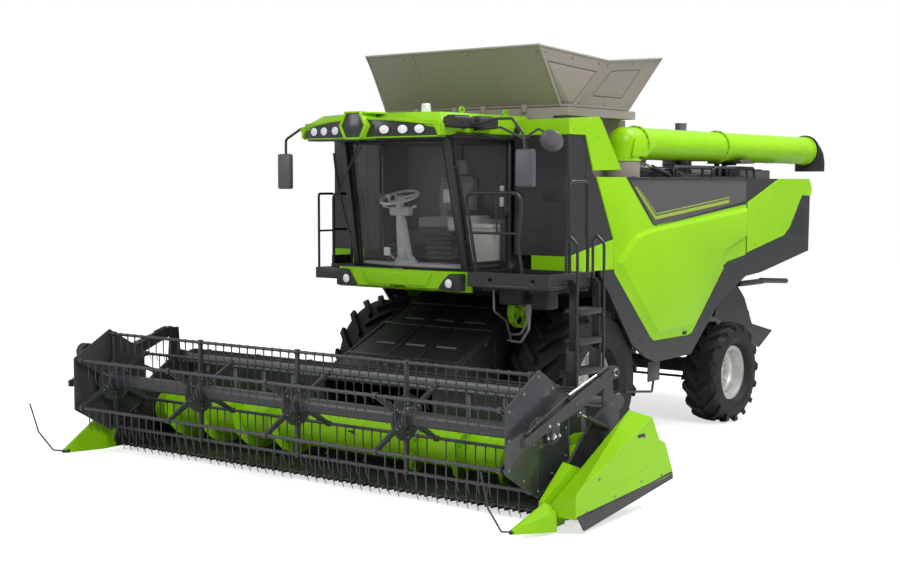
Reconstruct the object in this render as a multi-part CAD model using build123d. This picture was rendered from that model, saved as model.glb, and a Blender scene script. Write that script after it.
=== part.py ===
from build123d import *
import math
import os

os.makedirs("parts", exist_ok=True)

# ---------------------------------------------------------------- driving sizes, mm
# Working frame: ground at z = 0, +X is the machine's left, -Y its front.
gap = 0.3                 # between pieces that seat on each other
fit = 0.05                # radial clearance of a pin in its bore

# wheels
front_axle_y = -1200.0
wheelbase = 3030.0
front_tyre_r = 810.0
front_tyre_w = 680.0
front_tyre_x = 1240.0
front_rim_r = 345.0
front_lugs = 18
rear_tyre_r = 620.0
rear_tyre_w = 450.0
rear_tyre_x = 1425.0
rear_rim_r = 310.0
rear_lugs = 16
stub_r = 60.0
kingpin_x = 1040.0
kingpin_r = 30.0

# threshing body
body_x = 1050.0           # half width of the inner casing
side_x = 1620.0           # half width over the side panels
panel_t = 24.0
body_front_y = -1900.0
deck_z = 2050.0
deck_t = 150.0

# grain tank and its extension
tank_x = 1120.0
tank_front_y = -1470.0
tank_rear_y = 20.0
tank_top_z = 3750.0
ext_top_z = 4360.0

# cab
cab_x = 880.0
cab_front_y = -2590.0
cab_lean = 330.0          # forward lean of the front pillar over its height
cab_rear_y = -1500.0
cab_floor_z = 2050.0
cab_top_z = 3420.0
pillar = 70.0
glass_t = 8.0

# unloading auger
unload_x = 1345.0
unload_z = 3390.0
unload_r = 180.0
unload_y = -390.0
unload_end_y = 4470.0
spout_back = 225.0

# feeder house and header
feeder_x = 780.0
feeder_pivot_y = -1250.0
feeder_pivot_z = 1500.0
header_x = 2905.0         # inside of the end sheets
end_t = 15.0
header_top_z = 950.0
auger_y = -3350.0
auger_z = 400.0
auger_r = 300.0
auger_tube_r = 200.0
auger_pitch = 540.0
knife_y = -3930.0
knife_z = 62.0
cover_x = 3300.0          # outside of the drive-side cover
far_x = 3100.0            # outside of the far-side reel drive
rod_front_y = -5170.0     # front of the crop lifter rods

# reel
reel_y = -4198.0
reel_z = 805.0
reel_bar_r = 505.0
reel_half = 2790.0
bar_r = 16.0
tine_len = 250.0
tine_pitch = 155.0
reel_tube_r = 72.0
spider_r = 330.0
bars = 6
bays = 4
arm_x = 2970.0
arm_pivot_y = -3210.0
arm_pivot_z = 1250.0

parts = {}


# ---------------------------------------------------------------- helpers
def box(x0, x1, y0, y1, z0, z1):
    return Pos((x0 + x1) / 2, (y0 + y1) / 2, (z0 + z1) / 2) * Box(abs(x1 - x0), abs(y1 - y0), abs(z1 - z0))


def side_cut(points, x0, x1):
    """Solid from an outline of (y, z) corners between two x planes."""
    lo, hi = min(x0, x1), max(x0, x1)
    return extrude(Plane.YZ.offset(lo) * make_face(Polyline(*points, close=True)), hi - lo)


def front_cut(points, y0, y1):
    """Solid from an outline of (x, z) corners between two y planes."""
    lo, hi = min(y0, y1), max(y0, y1)
    flat = Plane(origin=(0, hi, 0), x_dir=(1, 0, 0), z_dir=(0, -1, 0))
    return extrude(flat * make_face(Polyline(*points, close=True)), hi - lo)


def plan_cut(points, z0, z1):
    """Solid from an outline of (x, y) corners between two levels."""
    lo, hi = min(z0, z1), max(z0, z1)
    return extrude(Plane.XY.offset(lo) * make_face(Polyline(*points, close=True)), hi - lo)


def rod(a, b, r):
    """Round bar between two points."""
    a, b = Vector(*a), Vector(*b)
    d = b - a
    return Plane(origin=a, z_dir=d) * Cylinder(r, d.length, align=(Align.CENTER, Align.CENTER, Align.MIN))


def beam(a, b, w, h, up=(0, 0, 1)):
    """Square bar between two points, w across and h in the up direction."""
    a, b = Vector(*a), Vector(*b)
    d = b - a
    side = d.cross(Vector(*up))
    flat = Plane(origin=a, x_dir=side, z_dir=d)
    return flat * Box(w, h, d.length, align=(Align.CENTER, Align.CENTER, Align.MIN))


def rail(points, r, bend=60.0):
    """Bent tube along corners with round bends."""
    path = FilletPolyline(*points, radius=bend)
    start = Plane(origin=points[0], z_dir=Vector(*points[1]) - Vector(*points[0]))
    return sweep(start * Circle(r), path=path)


def disc_x(x0, x1, y, z, r):
    """Round plate or shaft whose axis is X."""
    lo, hi = min(x0, x1), max(x0, x1)
    return Plane(origin=(lo, y, z), z_dir=(1, 0, 0)) * Cylinder(
        r, hi - lo, align=(Align.CENTER, Align.CENTER, Align.MIN))


def mirror_x(shape):
    return mirror(shape, about=Plane.YZ)


def turned(points, y=0.0, z=0.0):
    """Revolve an outline of (x, radius) corners about the X axis through (y, z)."""
    face = Plane.XY * make_face(Polyline(*[(x, r) for x, r in points], close=True))
    return Pos(0, y, z) * revolve(face, Axis.X)


def frustum(low, high):
    """Closed solid between two loops of as many corners, loops flat, sides split where they twist."""
    n = len(low)
    faces = [Face(Wire.make_polygon(list(reversed(low)), close=True)), Face(Wire.make_polygon(high, close=True))]
    for i in range(n):
        j = (i + 1) % n
        faces.append(Face(Wire.make_polygon([low[i], low[j], high[j]], close=True)))
        faces.append(Face(Wire.make_polygon([low[i], high[j], high[i]], close=True)))
    return Solid(Shell(faces))


# ---------------------------------------------------------------- tyres and rims
def tyre(radius, width, rim_r, lugs, lug_h, lug_w):
    """Agricultural tyre about the X axis at the origin, chevron lugs fused to the crown."""
    w = width / 2
    crown = radius - lug_h
    side = rim_r + (crown - rim_r) * 0.45
    bead = w * 0.62 - gap
    shell = turned([(-bead, rim_r), (-bead, rim_r + 30), (-w * 0.92, rim_r + 65), (-w, side), (-w * 0.95, crown - 50),
                    (-w * 0.72, crown - 8), (0, crown), (w * 0.72, crown - 8), (w * 0.95, crown - 50),
                    (w, side), (w * 0.92, rim_r + 65), (bead, rim_r + 30), (bead, rim_r)])
    sweep_y = w * 0.85
    # one lug from the middle of the crown out to the shoulder, leaning back
    outline = [(0.04 * w, -lug_w * 0.3), (0.04 * w, lug_w * 0.7), (w * 0.9, sweep_y + lug_w * 0.9),
               (w * 1.0, sweep_y + lug_w * 0.9), (w * 1.0, sweep_y - lug_w * 0.4), (w * 0.9, sweep_y - lug_w * 0.4)]
    blank = extrude(Plane.XY.offset(crown - 90) * make_face(Polyline(*outline, close=True)), 90 + lug_h)
    skin = turned([(0, crown - 110), (w, crown - 110), (w, crown - 60), (w * 0.95, crown + lug_h * 0.5),
                   (w * 0.7, radius - 6), (w * 0.4, radius), (0, radius)])
    lug = blank & skin
    both = Compound(children=[lug, Rot(180 / lugs, 0, 0) * mirror_x(lug)])
    ring = [Rot(i * 360 / lugs, 0, 0) * s for i in range(lugs) for s in both.solids()]
    return shell + ring


def rim(width, rim_r, dish_x, bore_r, hub_r, hub_in, hub_out):
    """Wheel rim about the X axis: barrel, two flanges, dished disc and a capped hub."""
    w = width * 0.31
    barrel = turned([(-w, rim_r - gap), (-w, rim_r + 22), (-w - 12, rim_r + 22), (-w - 12, rim_r - 22),
                     (-w * 0.5, rim_r - 40), (w * 0.5, rim_r - 40), (w + 12, rim_r - 22), (w + 12, rim_r + 22),
                     (w, rim_r + 22), (w, rim_r - gap)])
    disc = turned([(dish_x, hub_r - 5), (dish_x + 12, hub_r - 5), (dish_x + 12, hub_r + 40),
                   (dish_x - 25, rim_r - 30), (dish_x - 37, rim_r - 30), (dish_x, hub_r + 40)])
    hub = turned([(hub_in, 0), (hub_in, hub_r), (dish_x + 20, hub_r), (hub_out - 15, hub_r * 0.8),
                  (hub_out, hub_r * 0.7), (hub_out, 0)])
    hub -= disc_x(hub_in - 1, hub_out - 12, 0, 0, bore_r)
    return barrel + disc + hub


front_axle_z = front_tyre_r
rear_axle_y = front_axle_y + wheelbase
rear_axle_z = rear_tyre_r
stub_in = 880.0
stub_len = 330.0
front_tyre = tyre(front_tyre_r, front_tyre_w, front_rim_r, front_lugs, 52.0, 62.0)
front_rim = rim(front_tyre_w, front_rim_r, -60.0, stub_r + fit, 150.0, stub_in + 25 - front_tyre_x, 40.0)
rear_tyre = tyre(rear_tyre_r, rear_tyre_w, rear_rim_r, rear_lugs, 40.0, 48.0)
knuckle_face = 1150.0
rear_rim = rim(rear_tyre_w, rear_rim_r, -20.0, stub_r + fit, 110.0, knuckle_face + 25 - rear_tyre_x, 60.0)
for side, way in (("left", 1), ("right", -1)):
    for name, shape, x, y, z in (("front_tyre", front_tyre, front_tyre_x, front_axle_y, front_axle_z),
                                 ("front_rim", front_rim, front_tyre_x, front_axle_y, front_axle_z),
                                 ("rear_tyre", rear_tyre, rear_tyre_x, rear_axle_y, rear_axle_z),
                                 ("rear_rim", rear_rim, rear_tyre_x, rear_axle_y, rear_axle_z)):
        put = Pos(x, y, z) * shape
        parts[name + "_" + side] = put if way > 0 else mirror_x(put)

# ---------------------------------------------------------------- axles
axle = box(-stub_in + 120, stub_in - 120, front_axle_y - 90, front_axle_y + 90, front_axle_z - 90, front_axle_z + 90)
axle += turned([(-200, 0), (-200, 190), (-120, 240), (120, 240), (200, 190), (200, 0)], front_axle_y, front_axle_z)
for way in (1, -1):
    axle += disc_x(way * (stub_in - 170), way * stub_in, front_axle_y, front_axle_z, 230.0)
    axle += disc_x(way * (stub_in - 5), way * (stub_in + stub_len), front_axle_y, front_axle_z, stub_r)
parts["front_axle"] = axle

rear_beam_x = kingpin_x - 75.0
rear_beam = box(-rear_beam_x, rear_beam_x, rear_axle_y - 75, rear_axle_y + 75, rear_axle_z - 30, rear_axle_z + 130)
rear_beam += disc_x(-160, 160, rear_axle_y, rear_axle_z + 110, 70.0)
ear = 26.0
knuckle_h = 110.0
for way in (1, -1):
    for z0 in (rear_axle_z - knuckle_h - ear - 5, rear_axle_z + knuckle_h + 5):
        lug = box(way * (rear_beam_x - 60), way * kingpin_x, rear_axle_y - 60, rear_axle_y + 60, z0, z0 + ear)
        lug += Pos(way * kingpin_x, rear_axle_y, z0 + ear / 2) * Cylinder(60, ear)
        rear_beam += lug
    web = box(way * (rear_beam_x - 60), way * (rear_beam_x - 5), rear_axle_y - 20, rear_axle_y + 20,
              rear_axle_z - knuckle_h - ear - 5, rear_axle_z + knuckle_h + ear + 5)
    pin_h = 2 * (knuckle_h + ear + 5)
    rear_beam += web + Pos(way * kingpin_x, rear_axle_y, rear_axle_z) * Cylinder(kingpin_r, pin_h)
parts["rear_axle"] = rear_beam

tie_y = 230.0             # steering arm length behind the kingpin
knuckle = Pos(kingpin_x, rear_axle_y, rear_axle_z) * Cylinder(55, 2 * knuckle_h)
knuckle += disc_x(kingpin_x, knuckle_face, rear_axle_y, rear_axle_z, 80.0)
knuckle += disc_x(kingpin_x, knuckle_face + 260, rear_axle_y, rear_axle_z, stub_r)
knuckle += plan_cut([(kingpin_x - 35, rear_axle_y + 20), (kingpin_x + 35, rear_axle_y + 20),
                     (kingpin_x + 28, rear_axle_y + 150), (kingpin_x + 35, rear_axle_y + tie_y + 35),
                     (kingpin_x - 35, rear_axle_y + tie_y + 35), (kingpin_x - 28, rear_axle_y + 150)],
                    rear_axle_z - knuckle_h, rear_axle_z - knuckle_h + 25)
knuckle -= Pos(kingpin_x, rear_axle_y, rear_axle_z) * Cylinder(kingpin_r + fit, 3 * knuckle_h)
tie_pin_z = rear_axle_z - knuckle_h
knuckle += Pos(kingpin_x, rear_axle_y + tie_y, tie_pin_z - 20) * Cylinder(14, 60)
parts["knuckle_left"] = knuckle
parts["knuckle_right"] = mirror_x(knuckle)
tie_z = tie_pin_z - 28.0
tie_rod = rod((-kingpin_x + 20, rear_axle_y + tie_y, tie_z), (kingpin_x - 20, rear_axle_y + tie_y, tie_z), 16.0)
for way in (1, -1):
    eye = Pos(way * kingpin_x, rear_axle_y + tie_y, tie_z) * Cylinder(32, 36)
    eye -= Pos(way * kingpin_x, rear_axle_y + tie_y, tie_z) * Cylinder(14 + fit, 80)
    tie_rod += eye
parts["tie_rod"] = tie_rod

# ---------------------------------------------------------------- main frame
frame_x = 640.0
frame_top = 1240.0
rail_h = 150.0
frame_rear_y = 2320.0
frame = None
for way in (1, -1):
    x0, x1 = way * (frame_x - 45), way * (frame_x + 45)
    piece = box(x0, x1, -1060, frame_rear_y, frame_top - rail_h, frame_top)
    seat_z = front_axle_z + 90 + gap
    piece += side_cut([(front_axle_y - 90, seat_z), (front_axle_y + 90, seat_z), (-900, frame_top - rail_h),
                       (-900, frame_top - 10), (-1060, frame_top), (-1060, frame_top - rail_h + 10),
                       (front_axle_y - 90, seat_z + 55)], x0, x1)
    frame = piece if frame is None else frame + piece
for y0 in (-1000, 400, frame_rear_y - 50):
    frame += box(-frame_x, frame_x, y0 - 50, y0 + 50, frame_top - rail_h + 10, frame_top - 10)
frame += box(-frame_x, frame_x, rear_axle_y - 110, rear_axle_y + 110, frame_top - rail_h + 10, frame_top - 10)
pivot_z = rear_axle_z + 110.0
for y0 in (rear_axle_y - 110, rear_axle_y + 80):
    frame += box(-150, 150, y0, y0 + 30, pivot_z - 60, frame_top - rail_h + 10)
axle_pin = Plane(origin=(0, rear_axle_y - 110, pivot_z), z_dir=(0, 1, 0)) * Cylinder(
    45, 220, align=(Align.CENTER, Align.CENTER, Align.MIN))
frame += axle_pin
parts["rear_axle"] -= Plane(origin=(0, rear_axle_y - 110, pivot_z), z_dir=(0, 1, 0)) * Cylinder(
    45 + fit, 220, align=(Align.CENTER, Align.CENTER, Align.MIN))
hitch_r = 16.0
hitch_z = 820.0
frame += box(-60, 60, frame_rear_y - 60, frame_rear_y + 40, hitch_z - 45, frame_top - rail_h + 20)
hitch_y = frame_rear_y + 130.0
hitch = box(-60, 60, frame_rear_y + 30, hitch_y + 50, hitch_z - 45, hitch_z + 45)
hitch -= box(-70, 70, frame_rear_y + 70, hitch_y + 60, hitch_z - 25, hitch_z + 25)
hitch -= Pos(0, hitch_y, hitch_z) * Cylinder(hitch_r, 200)
frame += hitch
parts["main_frame"] = frame

# ---------------------------------------------------------------- threshing body and its covers
inner_x = side_x - panel_t - gap
casing_z = frame_top + gap
casing_top = 2940.0
deck_rail_z = 2980.0
casing = side_cut([(-900, casing_z), (-900, 1960), (cab_rear_y + 20, 1960), (cab_rear_y + 20, casing_top),
                   (2085, casing_top), (2085, 1840), (2300, 1700), (2300, casing_z)], -body_x, body_x)
for way in (1, -1):
    casing -= box(way * 860, way * (body_x + 5), -2000, -330, casing_z - 5, front_tyre_r * 2 + 60)
parts["threshing_body"] = casing
rear_hood = side_cut([(2085 + gap, casing_top), (3840, casing_top), (3860, 2080), (2520, 1850), (2085 + gap, 1840)],
                     -inner_x, inner_x)
rear_hood -= side_cut([(2300, 1700), (2300, 2050), (3100, 2200), (3300, 1900), (3100, 1700)], -800, 800)
parts["rear_hood"] = rear_hood

module_in = 940.0
module_edge = [(body_front_y, 2195), (-1030, 2345), (-1375, 3005), (-1450, 3075), (-1590, 3440), (body_front_y, 3440)]
deck_y0, deck_y1 = -2655.0, -1960.0
side_green = [(-1364, 3010), (-760, 3010), (-200, 2500), (-120, 2480), (2080, 2704), (2080, 2060), (1585, 1994),
              (730, 1198), (640, 1180), (-150, 1180), (-230, 1230), (-1010, 1990), (-1010, 2200), (-1016, 2339)]
side_insert = [(-757, 3010), (2080, 3010), (2080, 2707), (-120, 2483), (-198, 2503)]
band = [(body_front_y, 2026), (-1030, 2026), (-1030, 2344.5), (body_front_y, 2194.7)]
skirt = [(-1291, 2023), (-1291, 1978), (-625, 1176), (-343, 1017), (-121, 939), (688, 955), (1417, 1543),
         (2080, 1800), (2080, 2057), (1588, 1991), (733, 1195), (641, 1177), (-152, 1177), (-233, 1227), (-1013, 1987),
         (-1013, 2023)]
rear_green = [(2090, 2704), (2980, 3006), (3880, 3006), (3965, 2885), (3940, 2790), (3658, 2790), (3300, 2380),
              (3132, 2279), (2090, 2094)]
rear_dark = [(2090, 2091), (3133, 2276), (3303, 2378), (3660, 2787), (3930, 2787), (3905, 2051), (2502, 1828),
             (2090, 1800)]
rear_top = [(2090, 3006), (2977, 3006), (2090, 2707)]
corner = [(body_front_y, 3600), (-1350, 3640), (-1290, 3610), (-885, 3090), (-1443, 3078), (-1587, 3443),
          (body_front_y, 3443)]
for side, way in (("left", 1), ("right", -1)):
    x0, x1 = way * (side_x - panel_t), way * side_x
    module = side_cut(module_edge, way * module_in, way * (side_x - 10))
    module -= box(way * 900, way * (tank_x + gap), cab_rear_y + 20 - gap, -900, 2100, 3500)
    parts["side_module_" + side] = module
    panel = side_cut(side_green, x0, x1)
    panel += side_cut([(-900, 2080), (-500, 2330), (2080, 2560), (2080, 2300), (1500, 2150), (650, 1300), (-100, 1290)],
                      x1, x1 + way * 22)
    parts["side_panel_" + side] = panel
    parts["side_insert_" + side] = side_cut(side_insert, x0, x1)
    parts["body_band_" + side] = side_cut(band, way * (module_in + 220), way * (side_x + 4))
    parts["side_skirt_" + side] = side_cut(skirt, x0, x1 + way * 6)
    parts["rear_side_" + side] = side_cut(rear_green, x0, x1 + way * 15)
    parts["rear_skirt_" + side] = side_cut(rear_dark, x0, x1 + way * 4) + side_cut(rear_top, x0, x1)
    cover = side_cut(corner, way * 960, way * (side_x + 4))
    cover -= side_cut([(-1800, 3430), (-1800, 3570), (-1370, 3600), (-1330, 3560), (-980, 3100), (-1300, 3000)],
                      way * 900, way * (side_x - 30))
    cover -= box(way * 900, way * (tank_x + gap), cab_rear_y + 20 - gap, -800, 3000, 3700)
    parts["corner_cover_" + side] = cover

# posts and rails that carry the side panels
hinge_x = side_x - panel_t - 6.0
hinge_z = 3003.0
hinge_ys = (-640.0, 600.0, 1900.0)
side_frame = None
for way in (1, -1):
    x_in, x_out = way * (body_x + gap), way * inner_x
    rails = box(way * (inner_x - 60), x_out, -1310, 2083, casing_top - 40, deck_rail_z)
    for y in (-1310, -300, 900, 2020):
        if y > -1000:
            rails += box(way * (inner_x - 60), x_out, y, y + 60, 1850, deck_rail_z)
        rails += box(x_in, x_out, y, y + 60, casing_top - 40, casing_top)
        if y > -1000:
            rails += box(x_in, x_out, y, y + 60, 1850, 1910)
    rails += box(way * (inner_x - 60), x_out, -300, 2083, 1850, 1910)
    for y in (-60, 560):
        rails += box(x_in, x_out, y, y + 60, casing_z + 20, casing_z + 80)
        rails += box(way * (inner_x - 40), x_out, y, y + 60, 1020, 1900)
    for y in hinge_ys:
        rails += box(way * (hinge_x - 30), way * hinge_x, y - 42, y - 12, deck_rail_z - 5, hinge_z)
        rails += Plane(origin=(way * hinge_x, y - 42, hinge_z), z_dir=(0, 1, 0)) * Cylinder(
            8, 66, align=(Align.CENTER, Align.CENTER, Align.MIN))
    side_frame = rails if side_frame is None else side_frame + rails
parts["side_frame"] = side_frame
for side, way in (("left", 1), ("right", -1)):
    for y in hinge_ys:
        bore = Plane(origin=(way * hinge_x, y - 10, hinge_z), z_dir=(0, 1, 0))
        barrel = bore * Cylinder(15, 40, align=(Align.CENTER, Align.CENTER, Align.MIN))
        parts["side_insert_" + side] += barrel
        drill = Plane(origin=(way * hinge_x, y - 50, hinge_z), z_dir=(0, 1, 0)) * Cylinder(
            8 + fit, 110, align=(Align.CENTER, Align.CENTER, Align.MIN))
        parts["side_insert_" + side] -= drill
        parts["side_panel_" + side] -= drill

print("body done")

# ---------------------------------------------------------------- grain tank, its extension and the upper deck
tank_wall = 30.0
tank = box(-tank_x, tank_x, tank_front_y, tank_rear_y, casing_top + gap, 3660)
tank += box(-1310, 1310, tank_front_y + 20, tank_rear_y - 100, 3660, tank_top_z)
tank -= box(-tank_x + tank_wall, tank_x - tank_wall, tank_front_y + 60, tank_rear_y - 160, casing_top + 60, 4000)
base_r = unload_r + 6
tank += Pos(unload_x, unload_y, 0) * Cylinder(base_r, 3200 - gap - deck_rail_z - gap,
                                                  align=(Align.CENTER, Align.CENTER, Align.MIN)).moved(
    Location((0, 0, deck_rail_z + gap)))
tank += box(tank_x - 5, unload_x - 100, unload_y - 60, unload_y + 60, 3010, 3150)
parts["grain_tank"] = tank

upper_deck = None
for way in (1, -1):
    plate = box(way * (tank_x + 6), way * (inner_x - 60 - gap), -1200, 2600, casing_top + gap, deck_rail_z)
    upper_deck = plate if upper_deck is None else upper_deck + plate
upper_deck += box(-inner_x + 60 + gap, inner_x - 60 - gap, tank_rear_y + gap, 3800, casing_top + gap, deck_rail_z)
parts["engine_deck"] = upper_deck

# (x, y, z) corners of the extension, outside face; bottom loop then top loop
ext_low = [(-1190, -1410, tank_top_z), (1190, -1410, tank_top_z), (1300, -1340, tank_top_z), (1300, -230, tank_top_z),
           (1190, -130, tank_top_z), (-1190, -130, tank_top_z), (-1300, -230, tank_top_z), (-1300, -1340, tank_top_z)]
ext_high = [(-1187, -1820, ext_top_z + 20), (1187, -1820, ext_top_z + 20), (1600, -1130, 4240), (1600, 0, 4340),
            (1187, 290, ext_top_z), (-1187, 290, ext_top_z), (-1600, 0, 4340), (-1600, -1130, 4240)]


def shrink(loop, t, drop=0.0):
    cx, cy = 0.0, sum(p[1] for p in loop) / len(loop)
    out = []
    for x, y, z in loop:
        d = math.hypot(x - cx, y - cy)
        out.append((x - (x - cx) / d * t, y - (y - cy) / d * t, z - drop))
    return out


def shell_ring(loops):
    """Closed ring of flat triangles through four loops of as many corners."""
    faces = []
    n = len(loops[0])
    for a, b in zip(loops, loops[1:] + loops[:1]):
        for i in range(n):
            j = (i + 1) % n
            faces.append(Face(Wire.make_polygon([a[i], a[j], b[j]], close=True)))
            faces.append(Face(Wire.make_polygon([a[i], b[j], b[i]], close=True)))
    return Solid(Shell(faces))


ext_t = 14.0
low_up = [(x, y, z + gap) for x, y, z in ext_low]
parts["tank_extension"] = shell_ring([low_up, ext_high, shrink(ext_high, ext_t), shrink(low_up, ext_t)])

engine = box(-650, 350, 600, 1800, deck_rail_z + gap, 3260)
engine += box(400, 800, 500, 900, deck_rail_z + gap, 3380)
engine += Pos(500, 2300, deck_rail_z + gap) * Cylinder(170, 260, align=(Align.CENTER, Align.CENTER, Align.MIN))
parts["engine"] = engine
exhaust = Pos(930, 1650, deck_rail_z + gap) * Cylinder(70, 700, align=(Align.CENTER, Align.CENTER, Align.MIN))
exhaust += Pos(930, 1650, deck_rail_z + gap) * Cylinder(130, 340, align=(Align.CENTER, Align.CENTER, Align.MIN))
parts["exhaust_stack"] = exhaust

rail_r = 17.0
deck_rails = None
for way in (1, -1):
    x = way * 1480
    one = rail([(x, 500, deck_rail_z + gap), (x, 500, 3140), (x, 2560, 3140), (x, 2560, deck_rail_z + gap)], rail_r)
    for y in (1200, 1900):
        one += rod((x, y, deck_rail_z + gap), (x, y, 3140), rail_r)
    deck_rails = one if deck_rails is None else deck_rails + one
parts["deck_rails"] = deck_rails

# unloading auger, folded back along the left side
elbow = rod((unload_x, unload_y, 3200), (unload_x, unload_y, unload_z), unload_r)
elbow += Pos(unload_x, unload_y, unload_z) * Sphere(unload_r)
tube = rod((unload_x, unload_y, unload_z), (unload_x, unload_end_y, unload_z), unload_r)
for y in (-140.0, 1790.0):
    tube += rod((unload_x, y - 25, unload_z), (unload_x, y + 25, unload_z), unload_r + 22)
tube += elbow
spout_hole = rod((unload_x, unload_end_y - 300, unload_z), (unload_x, unload_end_y + 10, unload_z), unload_r - 8)
tube -= spout_hole
parts["unload_tube"] = tube
spout_out = [(unload_end_y - 130, unload_z - 150), (unload_end_y + 10, unload_z + 195), (unload_end_y + 130, unload_z + 150),
             (unload_end_y + spout_back, unload_z), (unload_end_y + spout_back - 10, unload_z - 160), (unload_end_y + 120, unload_z - 300),
             (unload_end_y - 150, unload_z - 260)]
spout = side_cut(spout_out, unload_x - 205, unload_x + 205)
spout -= rod((unload_x, unload_end_y - 400, unload_z), (unload_x, unload_end_y + gap, unload_z), unload_r + gap)
inner = [(unload_end_y + gap, unload_z - 400), (unload_end_y + gap, unload_z + 150), (unload_end_y + 120, unload_z + 120),
         (unload_end_y + 195, unload_z), (unload_end_y + 185, unload_z - 160), (unload_end_y + 100, unload_z - 290)]
spout -= side_cut(inner, unload_x - 175, unload_x + 175)
parts["unload_spout"] = spout

# chopper and spreader under the rear hood
chop_x = 900.0
chop_y = 2300.0 + gap
chopper = side_cut([(chop_y, 1480), (2480, 1225), (3560, 860), (3690, 1030), (3650, 1210), (3320, 1430), (3080, 1630),
                    (3050, 1690), (chop_y, 1690)], -chop_x, chop_x)
chopper += side_cut([(chop_y, 1690), (3050, 1690), (3000, 1900), (chop_y, 1845)], -780, 780)
chopper -= side_cut([(2900, 1000), (3600, 900), (3640, 1100), (3200, 1350), (2900, 1350)], -chop_x + 20, chop_x - 20)
for way in (1, -1):
    chopper += side_cut([(2480, 1225), (3790, 720), (4185, 920), (3690, 1030), (3560, 860 + 200), (3320, 1430),
                         (3080, 1630), (2600, 1500)], way * chop_x, way * (chop_x + 90))
parts["straw_chopper"] = chopper

print("tank and rear done")

# ---------------------------------------------------------------- cab
lean = cab_lean / (cab_top_z - cab_floor_z)
post_y = -1925.0          # rear edge of the door opening


def lean_y(y0, z):
    return y0 - (z - cab_floor_z) * lean


floor_out = [(-cab_x, cab_rear_y), (cab_x, cab_rear_y), (cab_x, cab_front_y + 20), (-cab_x, cab_front_y + 20)]
cab_floor = plan_cut(floor_out, cab_floor_z - 90, cab_floor_z)
cab_floor += box(-cab_x + 60, cab_x - 60, cab_front_y + 200, cab_rear_y, cab_floor_z - 190, cab_floor_z - 90)
parts["cab_floor"] = cab_floor

door_gap = 7.0
z_lo, z_hi = cab_floor_z + 48, cab_top_z - 22 - 2 * door_gap
cab_frame = None
for way in (1, -1):
    x0, x1 = way * (cab_x - pillar), way * cab_x
    front = side_cut([(cab_front_y + 20, cab_floor_z + gap), (cab_front_y + 20 - 62, cab_floor_z + gap),
                      (lean_y(cab_front_y - 42, cab_top_z), cab_top_z),
                      (lean_y(cab_front_y + 20, cab_top_z), cab_top_z)], x0, x1)
    front += box(x0, x1, post_y + 8, post_y + 60, cab_floor_z + gap, cab_top_z)
    front += box(x0, x1, post_y + 50, cab_rear_y, cab_floor_z + gap, cab_top_z)
    front += box(x0, x1, cab_front_y, post_y + 20, cab_floor_z + gap, z_lo - door_gap)
    front += box(x0, x1, lean_y(cab_front_y, cab_top_z) - 20, cab_rear_y, cab_top_z - 22, cab_top_z)
    cab_frame = front if cab_frame is None else cab_frame + front
cab_frame += box(-cab_x + 10, cab_x - 10, cab_rear_y - 40, cab_rear_y, cab_floor_z + gap, cab_top_z)
cab_frame += box(-cab_x + 10, cab_x - 10, lean_y(cab_front_y, cab_top_z) - 40, lean_y(cab_front_y, cab_top_z) + 20,
                 cab_top_z - 40, cab_top_z)
parts["cab_frame"] = cab_frame


def bowed(y, z, half, bow, t):
    """Thin curved strip across the cab, bowed forward by bow at its middle."""
    outer = ThreePointArc((-half, y, z), (0, y - bow, z), (half, y, z))
    inner = ThreePointArc((-half, y + t, z), (0, y - bow + t, z), (half, y + t, z))
    return make_face([outer, Line((half, y, z), (half, y + t, z)), inner, Line((-half, y + t, z), (-half, y, z))])


glass_half = cab_x - pillar - gap
glass_y = cab_front_y - 10
windscreen = loft([bowed(glass_y, cab_floor_z + gap, glass_half, 70, glass_t),
                   bowed(lean_y(glass_y, cab_top_z - 45), cab_top_z - 45, glass_half, 70, glass_t)])
parts["windscreen"] = windscreen

# door on the left, the same opening glazed on the right; (y, z) corners of the opening
hinge_off = 20.0
door_edge = [(lean_y(cab_front_y + 20 + hinge_off, z_lo), z_lo), (lean_y(cab_front_y + 20 + hinge_off, z_hi), z_hi),
             (post_y - door_gap, z_hi), (post_y - door_gap, z_lo)]
bar = 42.0
door_hole = [(lean_y(cab_front_y + 20 + hinge_off + bar, z_lo + bar), z_lo + bar),
             (lean_y(cab_front_y + 20 + hinge_off + bar, z_hi - bar), z_hi - bar),
             (post_y - door_gap - bar, z_hi - bar), (post_y - door_gap - bar, z_lo + bar)]
door_hole = [(min(y, post_y - door_gap - bar), z) for y, z in door_hole]
door = side_cut(door_edge, cab_x - 34, cab_x - 4) - side_cut(door_hole, cab_x - 40, cab_x)
pane = side_cut([(y, z) for y, z in door_hole], cab_x - 24, cab_x - 24 + glass_t)
door += box(cab_x - 10, cab_x + 28, post_y - 40, post_y - 20, 2620, 2800)
up = Vector(0, -lean, 1).normalized()
hinge_pt = Vector(cab_x + 17, lean_y(cab_front_y + 20, cab_floor_z), cab_floor_z)
frame_knuckles, door_knuckles = None, None
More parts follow.
